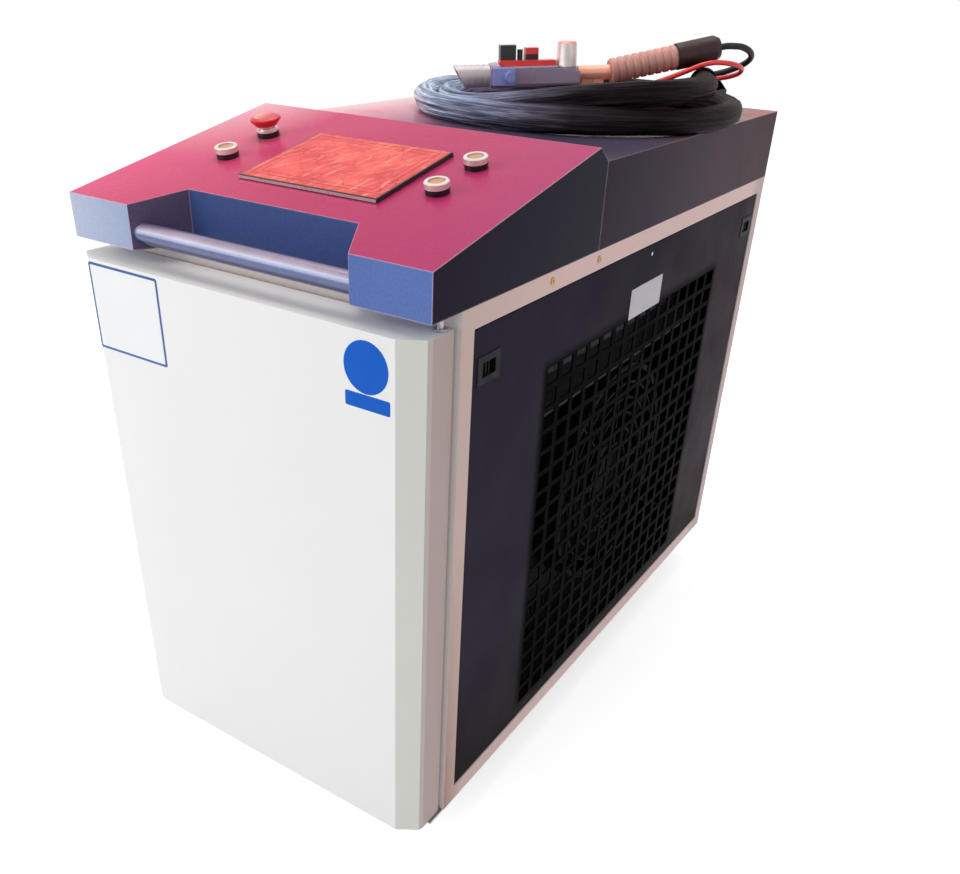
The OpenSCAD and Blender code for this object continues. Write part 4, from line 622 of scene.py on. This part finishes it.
def sleeve_cloth():
    """Dark woven sleeve with long creases: painted pale blue highlights on the left, painted shade to
    brown-black on the right, and painted shade and highlights along the creases.
    """
    mat, tree = shader("sleeve_cloth")
    # painted light across the coil: pale blue highlights on the left, shade to brown-black on the right
    tone = tones(tree, place(tree, COIL_ACROSS, -115, 365), (0.0, (232, 238, 255)),
                 (0.10, (204, 224, 255)), (0.19, (168, 180, 214)), (0.30, (134, 134, 162)),
                 (0.37, (92, 88, 106)), (0.47, (54, 48, 54)), (0.7, (38, 30, 31)), (1.0, (48, 32, 36)))
    fold = grain(tree, 1.0, 4.0, vector=round_space(tree, 0.55, 2.6))
    # painted shade in the creases and painted highlights on their ridges
    crease_shade_and_highlight = shades(tree, fold, (0.34, (0.12, 0.12, 0.14)), (0.42, (0.62, 0.60, 0.58)),
                    (0.47, (0.34, 0.34, 0.38)), (0.54, 1.1), (0.60, (0.62, 0.58, 0.48)), (0.68, 1.7))
    weave = grain(tree, 1.0, 5.0, 0.6, round_space(tree, 1.6, 9.0))
    colour = mix(tree, 1.0, tone, crease_shade_and_highlight, "MULTIPLY")
    colour = mix(tree, 1.0, colour, shades(tree, weave, (0.36, 0.62), (0.62, 1.12)), "MULTIPLY")
    finish(mat, colour, 1500.0, 0.25, 0.3, Roughness=0.5, Specular_IOR_Level=0.05)
    bump(mat, fold, 0.9, 12)
    return mat


def film_border(tree, uv):
    """1 along the lines that run inside the film's edge."""
    spot = node(tree, "ShaderNodeSeparateXYZ")
    plug(tree, uv, spot.inputs["Vector"])
    left = [math_of(tree, "SUBTRACT", size / 2 * MM, math_of(tree, "ABSOLUTE", spot.outputs[axis]))
            for axis, size in (("X", FILM_W), ("Y", FILM_L))]
    reach = math_of(tree, "MULTIPLY", math_of(tree, "MINIMUM", *left), 40.0)
    return shades(tree, reach, (0.0, 0.3), (0.26, 0.0), (0.32, 1.0), (0.40, 1.0), (0.46, 0.0), (0.58, 0.0),
                  (0.63, 0.7), (0.70, 0.7), (0.75, 0.0))


def wrinkles(tree, uv, degrees, scale, seen):
    """Thin parallel wrinkles in a direction, shown only here and there."""
    wave = node(tree, "ShaderNodeTexWave", wave_type="BANDS", bands_direction="X", Scale=scale,
                Distortion=3.4, Detail=2.0, Detail_Scale=1.4)
    lay = node(tree, "ShaderNodeMapping", Rotation=(0, 0, math.radians(degrees)))
    plug(tree, uv, lay.inputs["Vector"])
    plug(tree, lay.outputs["Vector"], wave.inputs["Vector"])
    thin = shades(tree, wave.outputs["Fac"], (0.92, 0.0), (0.99, 1.0))
    return times(tree, thin, shades(tree, grain(tree, seen, 2.0), (0.46, 0.0), (0.58, 1.0)))


def film_look():
    """A thin film over the screen, its coral a painted pink reflection, with a darker line inside its border
    and fine wrinkles with painted pale highlights and deeper painted shade.
    """
    mat, tree = shader("screen_film")
    uv = node(tree, "ShaderNodeUVMap", uv_map="UVMap").outputs["UV"]
    # painted reflection: the film's coral is pink light on it
    coral = tones(tree, grain(tree, 24.0, 6.0), (0.3, (208, 66, 68)), (0.5, (232, 90, 86)),
                  (0.72, (246, 118, 106)))
    colour = mix(tree, times(tree, film_border(tree, uv), 0.6), coral, lin((178, 44, 54)))
    rising = wrinkles(tree, uv, 34, 22.0, 60.0)
    falling = wrinkles(tree, uv, -42, 16.0, 44.0)
    level = wrinkles(tree, uv, 8, 12.0, 36.0)
    # painted pale highlights and deeper painted shade on the wrinkles
    pale, wrinkle_shade = lin((255, 168, 150)), lin((196, 54, 60))
    for fold, share, tone in ((rising, 0.5, pale), (falling, 0.3, wrinkle_shade), (level, 0.5, pale)):
        colour = mix(tree, times(tree, fold, share), colour, tone)
    plug(tree, colour, socket(mat, "Base Color"))
    bump(mat, rising, 0.5, 0.8)
    bump(mat, falling, 0.5, 0.8)
    socket(mat, "Roughness").default_value = 0.34
    socket(mat, "Specular IOR Level").default_value = 0.07
    return mat


# What the CAD nodes are made of
def dress(material, *names):
    for name in names:
        slots = nodes[name].data.materials
        if not len(slots):
            slots.append(material)
        for i in range(len(slots)):
            slots[i] = material


def wheels(side):
    return f"wheel_front_{side}", f"wheel_rear_{side}"


def latches(side):
    return f"latch_frames_{side}", f"latch_slide_{side}_front", f"latch_slide_{side}_rear"


def dress_outside():
    dress(door_paint(), "front_door")
    dress(frame_paint(), "cabinet_frame")
    dress(console_paint(), "console_shell")
    dress(cover_paint(), "rear_cover")
    dress(panel_paint(), "side_panel_right", "side_panel_left", "rear_panel")
    dress(bar_paint(), "handle_bar")
    dress(surface("plated_steel", (168, 168, 170), 0.34, metal=1.0, patch=40.0, strength=0.05),
          "hinge_pins", "caster_bases", "caster_fork_right", "caster_fork_left")
    dress(surface("wheel_rubber", (34, 34, 36), 0.72, spread=0.10, patch=20.0, strength=0.2),
          *wheels("right"), *wheels("left"))
    dress(surface("black_moulding", (22, 22, 24), 0.48, spread=0.10, patch=30.0, fine=1200.0, strength=0.2,
                  spec=0.08),
          *latches("right"), *latches("left"), "door_catches", "breaker_toggle", "cable_outlet",
          "umbilical_cuff", "gun_trigger")
    dress(surface("brass", (176, 140, 74), 0.30, metal=1.0, spread=0.08, patch=80.0),
          "cover_screws", "rear_fittings")


def dress_console():
    dress(ring_metal(), "button_collars", "stop_base")
    dress(stop_paint(), "stop_head")
    dress(surface("bezel_plastic", (52, 42, 46), 0.34, spread=0.05, patch=12.0, fine=1100.0, strength=0.10),
          "screen_unit")
    dress(surface("stop_neck", (206, 200, 198), 0.26, metal=0.9, spread=0.04, patch=60.0, strength=0.04),
          "stop_stem")
    dress(surface("button_cap", (196, 142, 100), 0.34, patch=60.0, strength=0.05, coat=0.2),
          "button_left", "button_front", "button_rear")


def dress_inside():
    dress(surface("zinc_sheet", (50, 52, 54), metal=0.3, spread=0.12, patch=30.0, fine=500.0, strength=0.06,
                  spec=0.08),
          "base_pan", "partition", "inner_deck")
    dress(surface("fan_black", (14, 14, 15), 0.55, spread=0.10, patch=12.0, spec=0.05),
          "fan_ring", "fan_rotor")
    dress(surface("source_case", (176, 178, 182), 0.36, metal=0.8, spread=0.05, patch=20.0), "laser_source")
    dress(surface("fin_sheet", (120, 122, 126), 0.40, metal=0.8, spread=0.10, patch=30.0), "condenser")
    dress(surface("black_iron", (20, 20, 22), 0.42, spread=0.10, patch=20.0), "compressor")
    dress(surface("tank_plastic", (206, 206, 196), spread=0.04, patch=10.0), "water_tank")
    dress(surface("pump_paint", (46, 78, 120), 0.42, patch=20.0), "water_pump")
    dress(surface("copper_pipe", (186, 112, 78), 0.30, metal=1.0, spread=0.10, patch=40.0), "coolant_pipes")
    dress(surface("unit_plastic", (150, 154, 154), 0.48, patch=30.0), "electrical_units")


def dress_gun():
    dress(fitting_paint(), "gun_fittings")
    dress(motor_paint(), "gun_motor_cover")
    dress(surface("gun_boot", (44, 24, 22), 0.46, spread=0.08, patch=30.0, strength=0.15), "gun_boot")
    dress(surface("gun_body", (168, 150, 172), 0.34, metal=0.15, spread=0.05, patch=14.0), "gun_body")
    dress(surface("gun_copper", (255, 176, 150), 0.30, metal=0.2, spread=0.04, patch=16.0), "gun_tube")
    dress(surface("gun_grip", (206, 150, 138), 0.38, patch=24.0, strength=0.15), "gun_grip")
    dress(surface("nozzle_metal", (190, 180, 182), 0.40, metal=0.25, spread=0.05, patch=24.0), "gun_nozzle")
    dress(surface("drawer_blue", (146, 154, 212), 0.36, metal=0.1, spread=0.04, patch=24.0), "lens_drawer")


dress_outside()
dress_console()
dress_inside()
dress_gun()

# Supply hose: a sleeve round the tubes, with creases that run along it
HOSE_SIDES, LEAD_SIDES, RED_SIDES = 40, 14, 12
SLEEVE_R = HOSE_R - 0.8
CREASE_OUT, CREASE_IN, CREASE_LIFT = 3.4, 2.6, 0.6
CREASES_ALONG, CREASES_ROUND = 5.0, 1.3
END_RINGS, END_SHARE = 5, 0.15  # the creases flatten to a share over the last rings
ALONG = [path_length(COIL[:i + 1]) for i in range(len(COIL))]


def sleeve_radius(i, a):
    q = Vector((ALONG[i] * CREASES_ALONG, math.cos(a) * CREASES_ROUND, math.sin(a) * CREASES_ROUND))
    fold = noise.noise(q) * CREASE_OUT - abs(noise.noise(q * 2.1 + X * 5)) * CREASE_IN + CREASE_LIFT
    end = min(i, len(COIL) - 1 - i) / END_RINGS
    return (SLEEVE_R + fold * min(1.0, max(END_SHARE, end))) * MM


def lengthwise_uv(mesh, sides, along):
    """UV along the tube, in decimetres, and round it."""
    layer = mesh.uv_layers.new(name="UVMap")
    for poly in mesh.polygons:
        indices = [mesh.loops[l].vertex_index for l in poly.loop_indices]
        turns = [k % sides for k in indices]
        seam = len(indices) == 4 and max(turns) - min(turns) > 1
        for l, k, turn in zip(poly.loop_indices, indices, turns):
            layer.data[l].uv = (along[k // sides] * 10, (sides if seam and turn == 0 else turn) / sides)


hose_mesh = tube_mesh("hose", COIL, sleeve_radius, HOSE_SIDES)
lengthwise_uv(hose_mesh, HOSE_SIDES, ALONG)
hose = put("hose", hose_mesh, "cabinet", sleeve_cloth(), rounded=True)
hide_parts("hose_coil")

lead_mesh = tube_mesh("lead", LEAD, LEAD_R * MM, LEAD_SIDES)
lead_rubber = surface("lead_rubber", (26, 26, 34), spread=0.10, patch=60.0, strength=0.2)
lead = put("lead", lead_mesh, "cabinet", lead_rubber, rounded=True)
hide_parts("gun_lead")

red_mesh = tube_mesh("red_line", RED, RED_R * MM, RED_SIDES)
red_plastic = surface("red_tube", (228, 52, 46), 0.28, spread=0.08, patch=90.0, strength=0.03, coat=0.4)
red = put("red_line", red_mesh, "cabinet", red_plastic, rounded=True)
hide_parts("red_tube")

# Screen film: a grid that lies on the glass and rises in low wrinkles away from its rim
FILM_CELLS_X, FILM_CELLS_Y = 96, 72
FILM_GAP, FILM_RIM, FILM_RISE = 0.12, 8.0, 0.35


def film_rise(x, y):
    """How far the film stands off the glass."""
    q = Vector((x, y, 0.0)) * 0.022
    fold = noise.noise(q * 1.6) * 0.5 + abs(noise.noise(q * 3.3 + Vector((3, 1, 0)))) * 0.5
    rim = min(1.0, min(FILM_W / 2 - abs(x), FILM_L / 2 - abs(y)) / FILM_RIM)
    return FILM_GAP + max(0.0, FILM_RISE + fold) * rim


def screen_film():
    spots = [((i / FILM_CELLS_X - 0.5) * FILM_W, (j / FILM_CELLS_Y - 0.5) * FILM_L)
             for j in range(FILM_CELLS_Y + 1) for i in range(FILM_CELLS_X + 1)]
    verts = [(SCREEN_AT + X * x + SLOPE_UP * y + SLOPE_OUT * (SCREEN_H + film_rise(x, y))) * MM
             for x, y in spots]
    row = FILM_CELLS_X + 1
    starts = [j * row + i for j in range(FILM_CELLS_Y) for i in range(FILM_CELLS_X)]
    mesh = mesh_of("screen_film", verts, [(k, k + 1, k + row + 1, k + row) for k in starts])
    layer = mesh.uv_layers.new(name="UVMap")
    for loop in mesh.loops:
        layer.data[loop.index].uv = [c * MM for c in spots[loop.vertex_index]]
    put("screen_film", mesh, "cabinet", film_look(), rounded=True)


# Thin plates: a pale strip as the painted highlight on the screen's front edge, blank cards and badges, and
# black sheets of painted shade behind the openings
def plate(name, centre, across, up, out, size, material, body, corner=0.0):
    """A plate whose back lies on centre; size is its width, height and thickness."""
    w, h, t = size
    outline = []
    for quarter, (right, top) in enumerate(((1, 1), (-1, 1), (-1, -1), (1, -1))):
        for k in range(9 if corner else 1):
            a = math.radians(quarter * 90 + k * 90 / 8)
            outline.append((right * (w / 2 - corner) + corner * math.cos(a),
                            top * (h / 2 - corner) + corner * math.sin(a)))
    m = len(outline)
    verts = [(centre + across * x + up * y + out * depth) * MM for depth in (0, t) for x, y in outline]
    faces = [tuple(range(m, 2 * m)), tuple(range(m - 1, -1, -1))]
    faces += [(k, (k + 1) % m, m + (k + 1) % m, m + k) for k in range(m)]
    put(name, mesh_of(name, verts, faces), body, material)


def on_door(name, x, z, size, material, corner, lift=0.0):
    plate(name, Vector((x, DOOR_FACE - lift, z)), X, Z, -Y, size, material, "door", corner)


def on_panel(name, y, z, size, material, corner):
    plate(name, Vector((RIGHT_FACE, y, z)), Y, Z, X, size, material, "panel_right", corner)


def screen_edge():
    # a pale strip painted as the highlight along the bezel's front edge
    pale = surface("bezel_edge_highlight", (196, 186, 188), 0.30, metal=0.6, spread=0.05, patch=30.0)
    width, height, thick, middle = SCREEN_W - 1, 3.2, 0.25, 2.6
    centre = SCREEN_AT - SLOPE_UP * (SCREEN_L / 2) + SLOPE_OUT * middle
    plate("screen_edge", centre, X, SLOPE_OUT, -SLOPE_UP, (width, height, thick), pale,
          "cabinet")


def cards_and_badges():
    card = surface("blank_card", (240, 241, 240), spread=0.01, fine=300.0, strength=0.05)
    border = surface("card_border", (70, 104, 160), spread=0.03, patch=14.0, spec=0.2)
    badge = surface("plain_blue", (2, 92, 196), spread=0.02, patch=14.0, fine=300.0, strength=0.05, spec=0.15)
    label = surface("blank_label", (206, 200, 204), spread=0.02, patch=14.0, fine=300.0, strength=0.05)
    thin = 0.3
    card_x, card_z, card_w, card_h, rim = -166, 692, 110, 98, 3
    disc_d, dot_d = 56, 5
    on_door("door_card_border", card_x, card_z, (card_w + 2 * rim, card_h + 2 * rim, thin), border, rim)
    on_door("door_card", card_x, card_z, (card_w, card_h, thin / 2), card, rim / 2, lift=thin)
    on_door("door_disc", 186, 711, (disc_d, disc_d, thin), badge, disc_d / 2)
    on_door("door_plate", 187.5, 674, (57, 16, thin), badge, 2)
    on_panel("panel_label", 36.5, 667, (107, 42, thin), label, 2)
    on_panel("panel_dot", 38, 726, (dot_d, dot_d, thin), card, dot_d / 2)


def shade_sheets():
    """Black mats that stand for the shade inside the openings, each close to the sheet whose openings it
    closes.
    """
    # black sheets for painted shade inside the openings
    mat = surface("shade_sheet_black", (10, 10, 11), 0.9, spread=0.1, patch=60.0, spec=0.02)
    gap, thick = 0.5, 2
    slots_x, slots_y, slots_size = 112, 40, (106, 760, 1)
    vents_z, vents_size = 541, (350, 310, thick)
    grille_y, grille_z, grille_size = 36.5, 385, (586, 546, thick)
    for side, x in (("right", slots_x), ("left", -slots_x)):
        plate(f"shade_sheet_base_{side}", Vector((x, slots_y, PAN_FACE - 0.1)), X, Y, -Z, slots_size, mat,
              "cabinet")
    plate("shade_sheet_rear", Vector((0, REAR_FACE - SHEET_T - gap, vents_z)), X, Z, -Y, vents_size, mat,
          "cabinet")
    plate("shade_sheet_left", Vector((LEFT_FACE + SHEET_T + gap + thick, grille_y, grille_z)), Y, Z, -X,
          grille_size, mat, "panel_left")


screen_film()
screen_edge()
cards_and_badges()
shade_sheets()


# Floor, backdrop and light, in metres and watts
FLOOR_HALF, FLOOR_GLOW, SKY_GLOW = 9, 0.62, 0.48


def background_ray(tree):
    """1 for a ray that shows the background: from the camera, off a glossy surface or through a clear one."""
    ray = node(tree, "ShaderNodeLightPath").outputs
    seen = math_of(tree, "MAXIMUM", ray["Is Camera Ray"], ray["Is Glossy Ray"])
    return math_of(tree, "MAXIMUM", seen, ray["Is Transmission Ray"])


def floor():
    square = [(FLOOR_HALF * x, FLOOR_HALF * y, 0) for x, y in ((-1, -1), (1, -1), (1, 1), (-1, 1))]
    obj = bpy.data.objects.new("floor", mesh_of("floor", square, [(0, 1, 2, 3)]))
    scene.collection.objects.link(obj)
    mat, tree = shader("floor")
    tone = tones(tree, grain(tree, 2.0, 3.0), (0.3, (246, 246, 248)), (0.7, (250, 250, 252)))
    plug(tree, tone, socket(mat, "Base Color"))
    socket(mat, "Roughness").default_value = 0.9
    socket(mat, "Specular IOR Level").default_value = 0.0
    glow = node(tree, "ShaderNodeEmission", Color=(1, 1, 1, 1))
    plug(tree, times(tree, background_ray(tree), FLOOR_GLOW), glow.inputs["Strength"])
    both = node(tree, "ShaderNodeAddShader")
    plug(tree, tree.nodes["Principled BSDF"].outputs["BSDF"], both.inputs[0])
    plug(tree, glow.outputs["Emission"], both.inputs[1])
    plug(tree, both.outputs["Shader"], tree.nodes["Material Output"].inputs["Surface"])
    obj.data.materials.append(mat)


def sky():
    """A dim pale sky that shows as white behind the object."""
    world = bpy.data.worlds.new("world")
    scene.world = world
    world.use_nodes = True
    tree = world.node_tree
    dim = tree.nodes["Background"]
    dim.inputs["Color"].default_value = (0.96, 0.97, 1.0, 1)
    dim.inputs["Strength"].default_value = SKY_GLOW
    white = node(tree, "ShaderNodeBackground", Color=(1, 1, 1, 1))
    pick = node(tree, "ShaderNodeMixShader")
    plug(tree, background_ray(tree), pick.inputs["Fac"])
    plug(tree, dim.outputs["Background"], pick.inputs[1])
    plug(tree, white.outputs["Background"], pick.inputs[2])
    plug(tree, pick.outputs["Shader"], tree.nodes["World Output"].inputs["Surface"])


def soft_light(name, at, aim, size, power, colour=(1, 1, 1)):
    data = bpy.data.lights.new(name, "AREA")
    data.shape = "RECTANGLE"
    data.size, data.size_y = size
    data.energy = power
    data.color = colour
    obj = bpy.data.objects.new(name, data)
    scene.collection.objects.link(obj)
    obj.location = at
    obj.rotation_euler = (Vector(aim) - Vector(at)).to_track_quat("-Z", "Y").to_euler()


floor()
sky()
soft_light("key", (-1.9, -2.7, 1.8), (0, -0.3, 0.5), (2.0, 2.0), 43)
soft_light("fill", (-0.5, -3.2, 0.8), (0, -0.5, 0.7), (1.4, 0.8), 5)
soft_light("top", (-0.4, 0.3, 2.8), (0, 0.1, 0.8), (1.8, 1.8), 30, (1.0, 0.95, 0.95))
soft_light("right", (3.0, -0.6, 1.6), (0.2, 0.1, 0.5), (1.6, 2.0), 6)

scene.view_settings.view_transform = "Standard"
bpy.context.view_layer.update()
